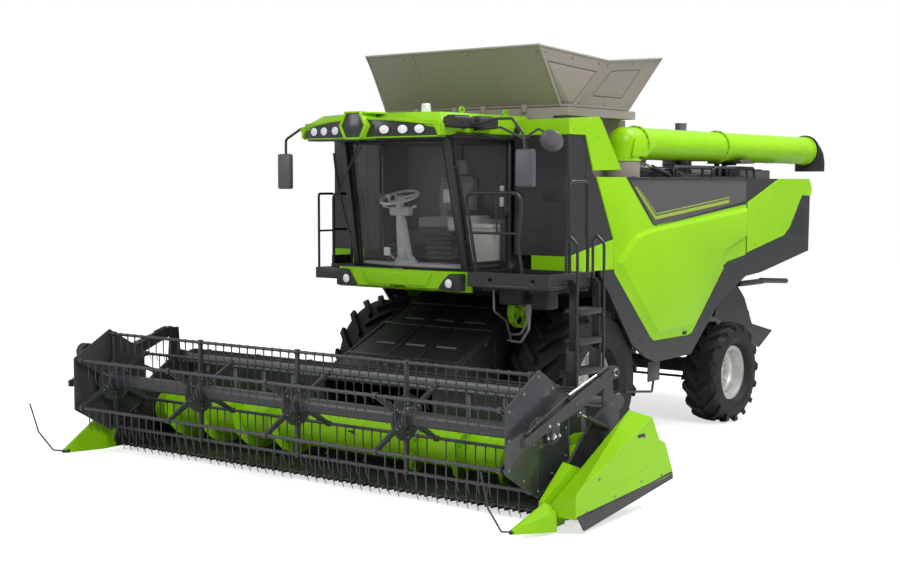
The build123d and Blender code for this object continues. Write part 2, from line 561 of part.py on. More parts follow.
for k in (300.0, 1080.0):
    base = hinge_pt + up * k
    pin = Plane(origin=base, z_dir=up) * Cylinder(8, 74, align=(Align.CENTER, Align.CENTER, Align.MIN))
    ear_f = Plane(origin=base, z_dir=up) * Cylinder(15, 24, align=(Align.CENTER, Align.CENTER, Align.MIN))
    arm = Plane(origin=base, x_dir=(1, 0, 0), z_dir=up) * Pos(-20, -8, 12) * Box(30, 30, 24)
    piece = pin + ear_f + arm
    frame_knuckles = piece if frame_knuckles is None else frame_knuckles + piece
    top = base + up * 26
    ear_d = Plane(origin=top, z_dir=up) * Cylinder(15, 40, align=(Align.CENTER, Align.CENTER, Align.MIN))
    arm_d = Plane(origin=top, x_dir=(1, 0, 0), z_dir=up) * Pos(-18, 22, 20) * Box(26, 36, 40)
    hole = Plane(origin=top - up * 5, z_dir=up) * Cylinder(8 + fit, 60, align=(Align.CENTER, Align.CENTER, Align.MIN))
    piece = (ear_d + arm_d) - hole
    door_knuckles = piece if door_knuckles is None else door_knuckles + piece
parts["cab_frame"] += frame_knuckles
parts["door_frame"] = door + door_knuckles
parts["door_glass"] = pane
right_pane = side_cut([(lean_y(cab_front_y + 20 + gap, z_lo - door_gap), z_lo - door_gap + gap),
                       (lean_y(cab_front_y + 20 + gap, z_hi), cab_top_z - 22 - gap),
                       (post_y + 8 - gap, cab_top_z - 22 - gap), (post_y + 8 - gap, z_lo - door_gap + gap)],
                      -cab_x + 20, -cab_x + 20 + glass_t)
parts["side_glass_right"] = right_pane

# roof: loops of (x, y) at three levels
roof_low = [(-930, -1520), (930, -1520), (930, -3120), (560, -3190), (-560, -3190), (-930, -3120)]
roof_mid = [(-960, -1500), (960, -1500), (960, -3140), (570, -3215), (-570, -3215), (-960, -3140)]
roof_top = [(-820, -1520), (820, -1520), (780, -2960), (420, -3080), (-420, -3080), (-780, -2960)]
roof_z = (cab_top_z + gap, 3520.0, 3655.0)
lower = frustum([(x, y, roof_z[0]) for x, y in roof_low], [(x, y, roof_z[1]) for x, y in roof_mid])
upper = frustum([(x, y, roof_z[1]) for x, y in roof_mid], [(x, y, roof_z[2]) for x, y in roof_top])
roof = lower + upper
roof -= box(-800, 800, -2900, -1600, cab_top_z - 10, cab_top_z + 90)
eye_r = 22.0
eye_x, eye_ys = 620.0, (-2390.0, -1620.0)
for y in eye_ys:
    ring = Plane(origin=(eye_x - 10, y, 3695), z_dir=(1, 0, 0)) * Cylinder(42, 20, align=(Align.CENTER,) * 2 + (Align.MIN,))
    ring += box(eye_x - 10, eye_x + 10, y - 25, y + 25, 3640, 3680)
    ring -= Plane(origin=(eye_x - 20, y, 3695), z_dir=(1, 0, 0)) * Cylinder(
        eye_r, 40, align=(Align.CENTER,) * 2 + (Align.MIN,))
    roof += ring
parts["cab_roof"] = roof
beacon = Pos(300, -2380, 3655 + gap) * (Cylinder(62, 22, align=(Align.CENTER,) * 2 + (Align.MIN,)) + Pos(0, 0, 22) * Cone(
    55, 46, 105, align=(Align.CENTER,) * 2 + (Align.MIN,)))
parts["beacon"] = beacon

# dark lamp panels on the roof brow, and the lamps in them; the brow leans, so each is cut to it
panels, lamps = None, None
for way in (1, -1):
    p = [(way * 870, -3170), (way * 560, -3232), (way * 190, -3232), (way * 190, -3200), (way * 560, -3200),
         (way * 860, -3140)]
    piece = plan_cut(p, 3445, 3560)
    panels = piece if panels is None else panels + piece
    for x, y in ((760, -3196), (600, -3224), (440, -3236)):
        eye = Pos(way * x, y, 3500) * Rot(90, 0, 0) * Cylinder(42, 26)
        lamps = eye if lamps is None else lamps + eye
cap = front_cut([(-130, 3430), (110, 3430), (150, 3530), (110, 3640), (-60, 3645), (-150, 3530)], -3250, -3180)
panels += cap
parts["roof_panels"] = (panels - roof)
parts["roof_lamps"] = (lamps - parts["roof_panels"]) - roof

# valance under the windscreen with a lamp pod at each end
val = plan_cut([(-900, cab_front_y + 20 - gap), (900, cab_front_y + 20 - gap), (900, -2600), (620, -2690), (-620, -2690),
                (-900, -2600)], 1830, cab_floor_z - 6)
val -= Plane(origin=(0, -2760, 1790), z_dir=(0, -1, 1)) * Box(1900, 200, 160)
val -= side_cut([(-2800, 1700), (-2800, 1900), (-2560, 1820), (-2560, 1700)], -1000, 1000)
parts["cab_valance"] = val
pods = None
for way in (1, -1):
    pod = Pos(way * 700, -2662, 1945) * Rot(90, 0, 0) * Cylinder(85, 50)
    bulb = Pos(way * 700, -2690, 1945) * Rot(90, 0, 0) * Cylinder(52, 12)
    pods = pod + bulb if pods is None else pods + pod + bulb
parts["head_lamps"] = pods - val

seat = box(-250, 250, -2080, -1640, 2450, 2570) + side_cut([(-1700, 2540), (-1560, 3060), (-1545, 3060), (-1545, 2540)],
                                                         -240, 240)
seat += box(-180, 180, -2020, -1640, cab_floor_z + gap, 2460)
seat += box(270, 400, -2200, -1600, 2560, 2640) + box(230, 330, -1900, -1700, 2400, 2600)
parts["seat"] = seat
column = rod((0, -2330, cab_floor_z + 60), (0, -2431, 2800), 55.0)
column += Pos(0, -2330, cab_floor_z + gap) * Cylinder(120, 90, align=(Align.CENTER,) * 2 + (Align.MIN,))
wheel = Torus(200, 16) + Cylinder(60, 30) + Box(380, 34, 16)
column += Pos(0, -2430, 2800) * Rot(20, 0, 0) * wheel
parts["steering_column"] = column

# decks, ladder, rails
deck_x1 = 1900.0
deck_left = box(cab_x + 20, deck_x1, deck_y0, deck_y1 + 50, deck_z - deck_t, deck_z)
tread_z = deck_z - 62.0
deck_left -= box(cab_x + 60, deck_x1 - 40, deck_y0 + 40, deck_y1 + 10, deck_z - deck_t - 10, tread_z - 30)
deck_left -= box(cab_x + 60, deck_x1 - 40, deck_y0 + 40, deck_y1 + 10, tread_z, deck_z + 10)
for x in (1180.0, 1700.0):
    deck_left -= rod((x, deck_y0 - 10, deck_z - 75), (x, deck_y0 + 60, deck_z - 75), 26)
for i in range(9):
    y = deck_y0 + 90 + i * 65
    deck_left -= box(cab_x + 90, deck_x1 - 80, y, y + 28, tread_z - 40, tread_z + 10)
deck_left += box(cab_x - 80, cab_x + 60, -2500, -2420, cab_floor_z - 180, cab_floor_z - 100)
deck_left += box(cab_x - 80, cab_x + 60, -2100, -2020, cab_floor_z - 180, cab_floor_z - 100)
parts["deck_left"] = deck_left - box(-cab_x, cab_x + gap, -2700, -1400, cab_floor_z - 90 - gap, cab_floor_z + 10) - box(
    -cab_x + 60 - gap, cab_x - 60 + gap, -2400, -1400, 1800, 2000)
deck_right = box(-1300, -cab_x - 20, -2300, deck_y1 + 50, deck_z - deck_t, deck_z)
deck_right -= box(-1260, -cab_x - 60, -2260, deck_y1 + 10, deck_z - deck_t - 10, deck_z - 30)
deck_right += box(-cab_x - 60, -cab_x + 60 - gap, -2200, -2120, cab_floor_z - 180, cab_floor_z - 100)
parts["deck_right"] = deck_right

lad_x = deck_x1 + 60.0
lad_y0, lad_y1 = -2300.0, -1880.0
ladder = None
for y in (lad_y0, lad_y1):
    side_rail = box(lad_x - 25, lad_x + 25, y - 12, y + 12, 450, 1960)
    side_rail += box(deck_x1 + gap, lad_x, y - 12, y + 12, 1900, 1990)
    ladder = side_rail if ladder is None else ladder + side_rail
for z in (460.0, 760.0, 1060.0, 1360.0, 1660.0):
    ladder += box(lad_x - 110, lad_x + 60, lad_y0, lad_y1, z, z + 34)
parts["ladder"] = ladder
foot = deck_z + gap
rail_y = deck_y0 + 24     # the front hoop leans forward with the cab's pillar, clear of the open door
rails = rail([(1000, rail_y + 20 * lean, foot - 20), (1000, rail_y - 800 * lean, foot + 800),
              (1700, rail_y - 800 * lean, foot + 800), (1560, rail_y - 300 * lean, foot + 300),
              (1560, rail_y + 20 * lean, foot - 20)], rail_r, 100.0)
rails += rod((1000, rail_y - 400 * lean, foot + 400), (1588, rail_y - 400 * lean, foot + 400), rail_r - 3)
rails -= box(900, 1800, rail_y - 100, rail_y + 100, foot - 80, foot)
rails += rail([(1880, lad_y0 + 30, foot), (1880, lad_y0 + 30, 2960), (1880, lad_y1 - 60, 2960),
               (1880, lad_y1 - 60, foot)], rail_r)
rails += rail([(-1280, -2280, foot), (-1280, -2280, 2830), (-1280, -1980, 2830), (-1280, -1980, foot)], rail_r)
rails += rod((-1280, -2280, 2430), (-1280, -1980, 2430), rail_r - 3)
parts["handrails"] = rails

# mirrors on tube brackets from the roof edge; right one nearer the cab
mirrors = rail([(940, -2950, 3480), (1500, -3040, 3560), (1880, -3070, 3420), (1880, -3070, 3240)], 15)
mirrors += rod((940, -2650, 3480), (1500, -3040, 3560), 12)
mirrors += Pos(1900, -3070, 3060) * Box(210, 60, 400)
mirrors += rail([(-940, -2500, 3480), (-1600, -2450, 3560), (-1880, -2420, 3440), (-1880, -2420, 3240)], 15)
mirrors += Pos(-1890, -2420, 3080) * Box(210, 60, 400)
parts["mirrors"] = mirrors - roof

lamp_boxes = None
for y in (-2450, -2150):
    piece = box(925, 1070, y - 90, y + 90, 3530, 3640)
    lamp_boxes = piece if lamp_boxes is None else lamp_boxes + piece
lamp_boxes += box(1440, 1560, 3860.3, 3900, 2100, 2190)
parts["work_lamps"] = lamp_boxes - roof
print("cab done")

# ---------------------------------------------------------------- feeder house and its pivot
slope = 0.45
feeder_edge = [(-3000, 940), (-1500, 1617), (-1330, 1690), (-1130, 1640), (-1080, 1500), (-1100, 1350), (-1330, 1080),
               (-3000, 330)]
feeder = side_cut(feeder_edge, -feeder_x, feeder_x)
mouth = [(-3010, 880), (-1330, 1630), (-1330, 1140), (-3010, 390)]
feeder -= side_cut(mouth, -feeder_x + 40, feeder_x - 40)
feeder -= side_cut([(-1500, 1580), (-1090, 1560), (-1070, 1400), (-1330, 1140)], -feeder_x + 40, feeder_x - 40)
for x in (-420, 0, 420):
    for y in (-1750, -2250):
        z = 940 + (y + 3000) * slope
        feeder += side_cut([(y - 150, z - 150 * slope - 5), (y + 150, z + 150 * slope - 5), (y + 140, z + 140 * slope + 14),
                            (y - 140, z - 140 * slope + 14)], x - 130, x + 130)
shaft_r = 50.0
feeder += disc_x(-feeder_x - 90, feeder_x + 90, feeder_pivot_y, feeder_pivot_z, shaft_r)
lug_x = 560.0
lug_pin_y, lug_pin_z = -2450.0, 500.0
hole_r = 42.0
for way in (1, -1):
    for dx in (-40, 40):
        x = way * lug_x + dx
        lug = side_cut([(-2620, 530), (-2250, 700), (-2330, 520), (lug_pin_y + 60, lug_pin_z - 62),
                        (lug_pin_y - 60, lug_pin_z - 62)], x - 11, x + 11)
        feeder += lug - disc_x(x - 20, x + 20, lug_pin_y, lug_pin_z, hole_r)
parts["feeder_house"] = feeder
holders = None
for way in (1, -1):
    x0, x1 = way * (feeder_x + 18), way * (feeder_x + 70)
    plate = side_cut([(-1340, 1420), (-1340, 1590), (-1150, 1590), (-1000, 1700), (-900 - gap, 1700), (-900 - gap, 1350),
                      (-1130, 1250 + gap), (-1270, 1250 + gap)], x0, x1)
    plate -= disc_x(x0 - way * 100, x1 + way * 100, feeder_pivot_y, feeder_pivot_z, shaft_r + fit)
    holders = plate if holders is None else holders + plate
parts["feeder_pivots"] = holders

# lift cylinders: barrel hinged on the axle, rod eye in the feeder's lugs
lift_y, lift_z = front_axle_y - 150.0, 600.0
lift_len = math.hypot(lug_pin_y - lift_y, lug_pin_z - lift_z)
for way in (1, -1):
    for dx in (-40, 40):
        x = way * lug_x + dx
        parts["front_axle"] += side_cut([(front_axle_y - 80, front_axle_z - 20), (front_axle_y + 60, front_axle_z - 80),
                                         (front_axle_y + 20, lift_z - 20), (lift_y + 40, lift_z - 50),
                                         (lift_y - 45, lift_z - 40), (lift_y - 45, lift_z + 40)], x - 11, x + 11)
    parts["front_axle"] += disc_x(way * lug_x - 50, way * lug_x + 50, lift_y, lift_z, 20)
barrels, rods = None, None
toward = Vector(0, (lug_pin_y - lift_y) / lift_len, (lug_pin_z - lift_z) / lift_len)
for way in (1, -1):
    base = Vector(way * lug_x, lift_y, lift_z)
    flat = Plane(origin=base, z_dir=toward)
    tube = flat * Pos(0, 0, 62) * Cylinder(50, lift_len * 0.60, align=(Align.CENTER,) * 2 + (Align.MIN,))
    tube += flat * Pos(0, 0, 40) * Box(44, 44, 60)
    tube += disc_x(way * lug_x - 26, way * lug_x + 26, lift_y, lift_z, 46)
    tube -= disc_x(way * lug_x - 60, way * lug_x + 60, lift_y, lift_z, 20 + fit)
    tube -= flat * Pos(0, 0, 70) * Cylinder(25 + fit, lift_len, align=(Align.CENTER,) * 2 + (Align.MIN,))
    barrels = tube if barrels is None else barrels + tube
    bar_in = flat * Pos(0, 0, 120) * Cylinder(25, lift_len - 130, align=(Align.CENTER,) * 2 + (Align.MIN,))
    bar_in += disc_x(way * lug_x - 24, way * lug_x + 24, lug_pin_y, lug_pin_z, 38)
    bar_in += disc_x(way * lug_x - 56, way * lug_x + 56, lug_pin_y, lug_pin_z, 20)
    rods = bar_in if rods is None else rods + bar_in
parts["lift_barrels"] = barrels
parts["lift_rods"] = rods

# ---------------------------------------------------------------- header trough, end sheets, cutter bar
trough_r = auger_r + 24.0
trough_t = 12.0
outline = []
back_y = auger_y + trough_r
for i in range(9):
    a = math.radians(0 - i * 90 / 8)
    outline.append((auger_y + trough_r * math.cos(a), auger_z + trough_r * math.sin(a)))
floor_y = knife_y + 60
inner_line = [(back_y, header_top_z)] + outline + [(floor_y, knife_z + 14)]
outer_line = [(y + (trough_t if i < 4 else 5), z - (0 if i < 2 else trough_t)) for i, (y, z) in enumerate(inner_line)]
outer_line[0] = (back_y + trough_t, header_top_z)
outer_line[1] = (back_y + trough_t, auger_z)
trough = side_cut(inner_line + list(reversed(outer_line)), -header_x, header_x)
mouth_x = feeder_x - 40
trough -= box(-mouth_x, mouth_x, back_y - 60, back_y + 60, 380, 860)
beam_r = 68.0
trough += disc_x(-header_x, header_x, back_y + 50, header_top_z, beam_r)
trough += box(-header_x, header_x, back_y + 10, back_y + 110, 150, 250)
for x in [-2800, -2000, -1200, 1200, 2000, 2800]:
    trough += box(x - 30, x + 30, back_y + 8, back_y + 90, 240, header_top_z - 40)
for way in (1, -1):
    trough += box(way * (feeder_x + 4), way * (feeder_x + 60), back_y + 8, -2900, 200, header_top_z - 30)
parts["header_trough"] = trough - feeder - side_cut([(y, z) for y, z in feeder_edge], -feeder_x - 2, feeder_x + 2)

end_edge = [(back_y + trough_t, 130), (back_y + trough_t, 1000), (back_y - 110, 1030), (-3620, 720), (-4000, 360),
            (-4090, 120), (-4060, 45), (-3400, 45)]
for side, way in (("left", 1), ("right", -1)):
    plate = side_cut(end_edge, way * (header_x + gap), way * (header_x + end_t))
    plate += side_cut([(arm_pivot_y - 90, 960), (arm_pivot_y + 90, 960), (arm_pivot_y + 60, arm_pivot_z + 50),
                       (arm_pivot_y - 60, arm_pivot_z + 50)], way * (header_x + gap), way * (header_x + 20))
    plate += disc_x(way * (header_x + 5), way * (arm_x + 60), arm_pivot_y, arm_pivot_z, 22)
    plate -= disc_x(way * (header_x - 10), way * (header_x + 40), auger_y, auger_z, 30 + fit)
    parts["end_sheet_" + side] = plate

guards = box(-header_x, header_x, knife_y - 8, floor_y - gap, knife_z - 12, knife_z + 10)
pitch = 76.2 * 2
count = int(2 * header_x // pitch)
for i in range(count):
    x = (i - (count - 1) / 2) * pitch
    guards += plan_cut([(x - 24, knife_y), (x + 24, knife_y), (x + 5, knife_y - 95), (x - 5, knife_y - 95)],
                       knife_z - 14, knife_z + 12)
for i in range(count + 1):
    x = (i - count / 2) * pitch
    if abs(x) < header_x - 30:
        guards += plan_cut([(x - 40, knife_y), (x + 40, knife_y), (x + 8, knife_y - 55), (x - 8, knife_y - 55)],
                           knife_z - 3, knife_z + 3)
parts["cutter_bar"] = guards

# intake auger: tube, two hands of flight, retracting fingers between them
steps = 14
auger_half = header_x - 25.0
middle = 560.0


def flight(x0, x1, pitch_x, r_in, r_out, t):
    """Flat-sided screw flight round the X axis from x0 to x1."""
    n = int(abs(x1 - x0) / pitch_x * steps)
    way = 1 if x1 > x0 else -1
    loops = []
    for i in range(n + 1):
        a = 2 * math.pi * i / steps
        x = x0 + (x1 - x0) * i / n
        c, s = math.cos(a), math.sin(a)
        loops.append([(x - t / 2, r_in * c, r_in * s), (x - t / 2, r_out * c, r_out * s),
                      (x + t / 2, r_out * c, r_out * s), (x + t / 2, r_in * c, r_in * s)])
    faces = [Face(Wire.make_polygon(loops[0], close=True)), Face(Wire.make_polygon(loops[-1], close=True))]
    for a, b in zip(loops, loops[1:]):
        for i in range(4):
            j = (i + 1) % 4
            faces.append(Face(Wire.make_polygon([a[i], a[j], b[j]], close=True)))
            faces.append(Face(Wire.make_polygon([a[i], b[j], b[i]], close=True)))
    return Solid(Shell(faces))


auger = disc_x(-auger_half + 20, auger_half - 20, 0, 0, auger_tube_r)
auger += disc_x(-header_x - 14, header_x + 14, 0, 0, 30)
for way in (1, -1):
    auger += flight(way * (auger_half - 30), way * middle, auger_pitch, auger_tube_r - 8, auger_r, 7)
for i in range(12):
    a = math.radians(i * 75)
    x = -middle + 60 + i * (2 * middle - 120) / 11
    auger += rod((x, 150 * math.cos(a), 150 * math.sin(a)), (x, 292 * math.cos(a), 292 * math.sin(a)), 8)
parts["intake_auger"] = Pos(0, auger_y, auger_z) * auger
print("header done")

# dividers: nose, inner wing and on the drive side a wide folded cover; corners are (y, z) with their x
def wedge(rows):
    """Closed solid between stations; each row is a loop of (x, z) corners at its y."""
    out = None
    for (y0, a), (y1, b) in zip(rows, rows[1:]):
        piece = frustum([(x, y0, z) for x, z in a], [(x, y1, z) for x, z in b])
        out = piece if out is None else out + piece
    return out


left_in = header_x + end_t + gap
nose = wedge([(-4745.0, [(2935, 60), (2965, 60), (2965, 95), (2935, 95)]),
              (-4319.0, [(left_in, 25), (3120, 25), (3110, 200), (2990, 262)])])
nose += wedge([(-4319.0, [(left_in, 40), (3050, 40), (3050, 190), (2985, 240)]),
               (-4100.0, [(left_in, 45), (3050, 45), (3050, 180), (2980, 230)])])
wing = wedge([(-4330.0, [(left_in, 60), (2990, 60), (2975, 262), (2940, 262)]),
              (-3960.0, [(left_in, 60), (3040, 60), (3030, 525), (2935, 545)]),
              (-3560.0, [(left_in, 60), (3040, 60), (3020, 380), (2935, 400)])])
parts["divider_left"] = nose + wing
cover_in = 3062.0
drive = wedge([(-4312.0, [(cover_in, 150), (cover_x, 150), (cover_x, 350), (cover_in, 262)]),
               (-3082.0, [(cover_in, 250), (cover_x, 250), (cover_x, 860), (cover_in, 900)]),
               (-2940.0, [(cover_in, 262), (cover_x, 262), (cover_x, 640), (cover_in, 680)]),
               (-2830.0, [(cover_in, 270), (cover_x, 270), (cover_x, 590), (cover_in, 630)]),
               (-2690.0, [(cover_in, 290), (cover_x, 290), (cover_x, 310), (cover_in, 330)])])
hollow = wedge([(-4250.0, [(cover_in - 30, 100), (cover_x - 20, 100), (cover_x - 20, 310), (cover_in - 30, 240)]),
                (-3100.0, [(cover_in - 30, 200), (cover_x - 20, 200), (cover_x - 20, 820), (cover_in - 30, 860)])])
parts["drive_cover"] = drive - hollow
strip = side_cut([(-4170, 33), (-4255, 148), (-4314, 150), (-3082, 250 - gap), (-2690, 290 - gap), (-2681, 241)],
                 cover_x - 20, cover_x - gap)
parts["cover_skirt"] = strip - parts["drive_cover"]
drive_shaft = disc_x(left_in, cover_x - 25, auger_y, auger_z, 90) + disc_x(left_in, cover_x - 40, -3230, 620, 60)
drive_shaft += box(left_in, cover_x - 20 - gap, -3540, -3150, 300, 340)
parts["header_drive"] = drive_shaft

right = wedge([(-4745.0, [(-2965, 60), (-2935, 60), (-2935, 95), (-2965, 95)]),
               (-4250.0, [(-3010, 35), (-left_in, 35), (-left_in, 430), (-2960, 430)]),
               (-3850.0, [(-3010, 40), (-left_in, 40), (-left_in, 560), (-2960, 560)]),
               (-3450.0, [(-2990, 50), (-left_in, 50), (-left_in, 380), (-2960, 380)])])
parts["divider_right"] = right

rods_front = None
for way in (1, -1):
    x = way * 2950
    one = rail([(x, -4735, 80), (x, -4880, 110), (x, -5060, 330), (x, rod_front_y + 8, 640)], 8, 40.0)
    one += rod((x, -4735, 80), (x, -4690, 78), 8) + Pos(x, -4735, 80) * Sphere(8)
    one += Pos(x, rod_front_y + 8, 640) * Sphere(8)
    rods_front = one if rods_front is None else rods_front + one
parts["lifter_rods"] = rods_front - parts["divider_left"] - parts["divider_right"]

# ---------------------------------------------------------------- reel, its arms and tine bars
arm_t = 60.0
tip_y, tip_z = -4620.0, 760.0
bearing_r = 30.0
arms = None
for way in (1, -1):
    x0, x1 = way * (arm_x - arm_t / 2 + 5), way * (arm_x + arm_t / 2)
    one = side_cut([(tip_y, tip_z), (tip_y, tip_z + 70), (-3900, 1085), (arm_pivot_y - 20, arm_pivot_z + 62),
                    (arm_pivot_y + 55, arm_pivot_z + 40), (arm_pivot_y + 55, arm_pivot_z - 50),
                    (arm_pivot_y - 60, arm_pivot_z - 62), (-3800, 985)], x0, x1)
    one += side_cut([(reel_y - 75, reel_z - 55), (reel_y + 75, reel_z - 55), (reel_y + 110, 960), (reel_y - 110, 900)], x0, x1)
    one -= disc_x(x0 - way * 50, x1 + way * 50, reel_y, reel_z, bearing_r + fit)
    one -= disc_x(x0 - way * 50, x1 + way * 50, arm_pivot_y, arm_pivot_z, 22 + fit)
    arms = one if arms is None else arms + one
parts["reel_arms"] = arms

angles = [90 + i * 360 / bars for i in range(bars)]
reel = disc_x(-reel_half - 60, reel_half + 60, 0, 0, reel_tube_r)
reel += disc_x(-arm_x - arm_t / 2 - 4, arm_x + arm_t / 2 + 4, 0, 0, bearing_r)
spider_xs = [-reel_half + 30 + i * (2 * reel_half - 60) / bays for i in range(bays + 1)]
for x in spider_xs:
    star = disc_x(x - 4, x + 4, 0, 0, spider_r)
    for a in angles:
        r = math.radians(a)
        tip = (x, reel_bar_r * math.cos(r), reel_bar_r * math.sin(r))
        root = (x, 60 * math.cos(r), 60 * math.sin(r))
        star += beam(root, tip, 14, 44, up=(1, 0, 0))
        star += disc_x(x - 22, x + 22, tip[1], tip[2], bar_r + 12)
    for a in angles:
        r = math.radians(a)
        star -= disc_x(x - 60, x + 60, reel_bar_r * math.cos(r), reel_bar_r * math.sin(r), bar_r + fit)
    reel += star
shield_r = 548.0
hexa = [(shield_r * math.cos(math.radians(a)), shield_r * math.sin(math.radians(a))) for a in angles]
for way in (1, -1):
    x = way * (reel_half + 45)
    reel += side_cut(hexa, x, x + way * 6)
parts["reel_frame"] = Pos(0, reel_y, reel_z) * reel

bar_half = reel_half + 30.0
tine = frustum([(-5, -6, -6), (5, -6, -6), (0, 5, -6)], [(-5, -6, -tine_len * 0.55), (5, -6, -tine_len * 0.55),
                                                        (0, 5, -tine_len * 0.55)])
tine += frustum([(-5, -6, -tine_len * 0.55), (5, -6, -tine_len * 0.55), (0, 5, -tine_len * 0.55)],
                [(-3, 26, -tine_len), (3, 26, -tine_len), (0, 32, -tine_len)])
tine_bar = disc_x(-bar_half, bar_half, 0, 0, bar_r)
per_bay = int((spider_xs[1] - spider_xs[0] - 90) // tine_pitch) + 1
tines = []
for a, b in zip(spider_xs, spider_xs[1:]):
    mid = (a + b) / 2
    for i in range(per_bay):
        x = mid + (i - (per_bay - 1) / 2) * tine_pitch
        tines.append(Pos(x, 0, 0) * tine)
tine_bar = tine_bar + tines
for i, a in enumerate(angles):
    r = math.radians(a)
    parts["tine_bar_%d" % (i + 1)] = Pos(0, reel_y + reel_bar_r * math.cos(r), reel_z + reel_bar_r * math.sin(r)) * tine_bar
print("reel done")

# far-side reel drive guard, on the arm
guard = disc_x(-far_x, -arm_x - arm_t / 2 - gap, reel_y, reel_z, 150)
guard += side_cut([(reel_y - 150, reel_z), (reel_y + 150, reel_z), (-4250, 1130), (-4450, 1130)], -far_x,
                  -arm_x - arm_t / 2 - gap)
guard += disc_x(-far_x, -arm_x - arm_t / 2 - gap, -4350, 1110, 95)
guard -= disc_x(-far_x + 10, -arm_x - arm_t / 2 + 10, reel_y, reel_z, 60)
parts["reel_drive"] = guard

# reel lift cylinders, outside the end sheets and under the arms
ram_x = arm_x
ram_y, ram_z = -3330.0, 760.0
ram_top_y, ram_top_z = -3800.0, 960.0
ram_len = math.hypot(ram_top_y - ram_y, ram_top_z - ram_z)
up_ram = Vector(0, (ram_top_y - ram_y) / ram_len, (ram_top_z - ram_z) / ram_len)
barrels, rods = None, None
for way in (1, -1):
    side = "left" if way > 0 else "right"
    parts["end_sheet_" + side] += disc_x(way * (header_x + 5), way * (ram_x + 30), ram_y, ram_z, 14)
    flat = Plane(origin=(way * ram_x, ram_y, ram_z), z_dir=up_ram)
    tube = flat * Pos(0, 0, 20) * Cylinder(26, ram_len * 0.62, align=(Align.CENTER,) * 2 + (Align.MIN,))
    tube += disc_x(way * ram_x - 20, way * ram_x + 20, ram_y, ram_z, 28)
    tube -= disc_x(way * ram_x - 40, way * ram_x + 40, ram_y, ram_z, 14 + fit)
    tube -= flat * Pos(0, 0, 45) * Cylinder(13 + fit, ram_len, align=(Align.CENTER,) * 2 + (Align.MIN,))
    barrels = tube if barrels is None else barrels + tube
    bar_in = flat * Pos(0, 0, 60) * Cylinder(13, ram_len - 84, align=(Align.CENTER,) * 2 + (Align.MIN,))
    bar_in += disc_x(way * ram_x - 12, way * ram_x + 12, ram_top_y, ram_top_z, 24)
    bar_in += disc_x(way * ram_x - 38, way * ram_x + 38, ram_top_y, ram_top_z, 10)
    rods = bar_in if rods is None else rods + bar_in
    for dx in (-27, 27):
        x = way * ram_x + dx
        ear_p = side_cut([(ram_top_y - 60, 1040), (ram_top_y + 60, 1070), (ram_top_y + 40, ram_top_z - 34),
                          (ram_top_y - 40, ram_top_z - 34)], x - 6, x + 6)
        parts["reel_arms"] += ear_p - disc_x(x - 20, x + 20, ram_top_y, ram_top_z, 24)
parts["reel_arms"] -= disc_x(-ram_x - 20, -ram_x + 20, ram_top_y, ram_top_z, 36) + disc_x(
    ram_x - 20, ram_x + 20, ram_top_y, ram_top_z, 36)
parts["ram_barrels"] = barrels
parts["ram_rods"] = rods

# ---------------------------------------------------------------- group like pieces of one body into nodes
groups = (("body_covers", "body_band_left body_band_right corner_cover_left corner_cover_right rear_side_left rear_side_right"),
          ("body_skirts", "side_skirt_left side_skirt_right rear_skirt_left rear_skirt_right"),
          ("side_modules", "side_module_left side_module_right"),
          ("threshing_body", "threshing_body rear_hood"),
          ("main_frame", "main_frame feeder_pivots"),
          ("engine", "engine exhaust_stack"),
          ("header_frame", "header_trough end_sheet_left end_sheet_right header_drive cover_skirt"),
          ("cutter_bar", "cutter_bar lifter_rods"),
          ("dividers", "divider_left divider_right drive_cover"),
          ("reel_arms", "reel_arms reel_drive"),
          ("lamps", "roof_lamps head_lamps beacon"),
          ("lamp_panels", "roof_panels work_lamps"),
          ("cab_interior", "seat steering_column"),
          ("cab_glass", "windscreen side_glass_right"),
          ("decks", "deck_left deck_right"),
          ("handrails", "handrails deck_rails ladder"))
for name, members in groups:
    shapes = [parts.pop(m) for m in members.split()]
    parts[name] = Compound(children=[s for shape in shapes for s in shape.solids()])

# ---------------------------------------------------------------- move to the row frame and write
# the origin is the middle of the footprint: the sides are the drive cover and the far reel drive,
# the ends are the lifter rods and the back of the unloading spout
shift = Vector(-(cover_x - far_x) / 2, -(rod_front_y + unload_end_y + spout_back) / 2, 0)
for name, shape in parts.items():
    moved = Pos(shift) * shape
    solids = moved.solids()
    out = solids[0] if len(solids) == 1 else Compound(children=solids)
    export_step(out, "parts/" + name + ".step")

print("nodes", len(parts), "shift", tuple(round(v, 3) for v in shift))
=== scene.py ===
import bpy
import bmesh
import math
from mathutils import Matrix, Vector


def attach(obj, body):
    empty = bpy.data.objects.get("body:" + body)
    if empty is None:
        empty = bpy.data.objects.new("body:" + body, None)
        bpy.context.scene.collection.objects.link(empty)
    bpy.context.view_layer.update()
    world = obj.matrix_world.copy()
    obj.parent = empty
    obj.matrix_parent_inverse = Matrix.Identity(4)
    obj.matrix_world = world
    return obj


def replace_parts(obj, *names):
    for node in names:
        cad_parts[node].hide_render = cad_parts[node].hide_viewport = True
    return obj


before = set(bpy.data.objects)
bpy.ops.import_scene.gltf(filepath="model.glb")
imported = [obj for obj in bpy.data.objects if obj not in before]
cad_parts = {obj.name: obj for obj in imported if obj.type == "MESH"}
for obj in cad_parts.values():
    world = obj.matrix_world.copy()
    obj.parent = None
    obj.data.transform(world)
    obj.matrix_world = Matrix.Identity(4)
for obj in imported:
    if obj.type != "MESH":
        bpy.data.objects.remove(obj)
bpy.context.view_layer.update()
scene = bpy.context.scene
machineShift = Vector((-0.1, 0.2375, 0.0))  # the drawing's own origin, seen from the frame

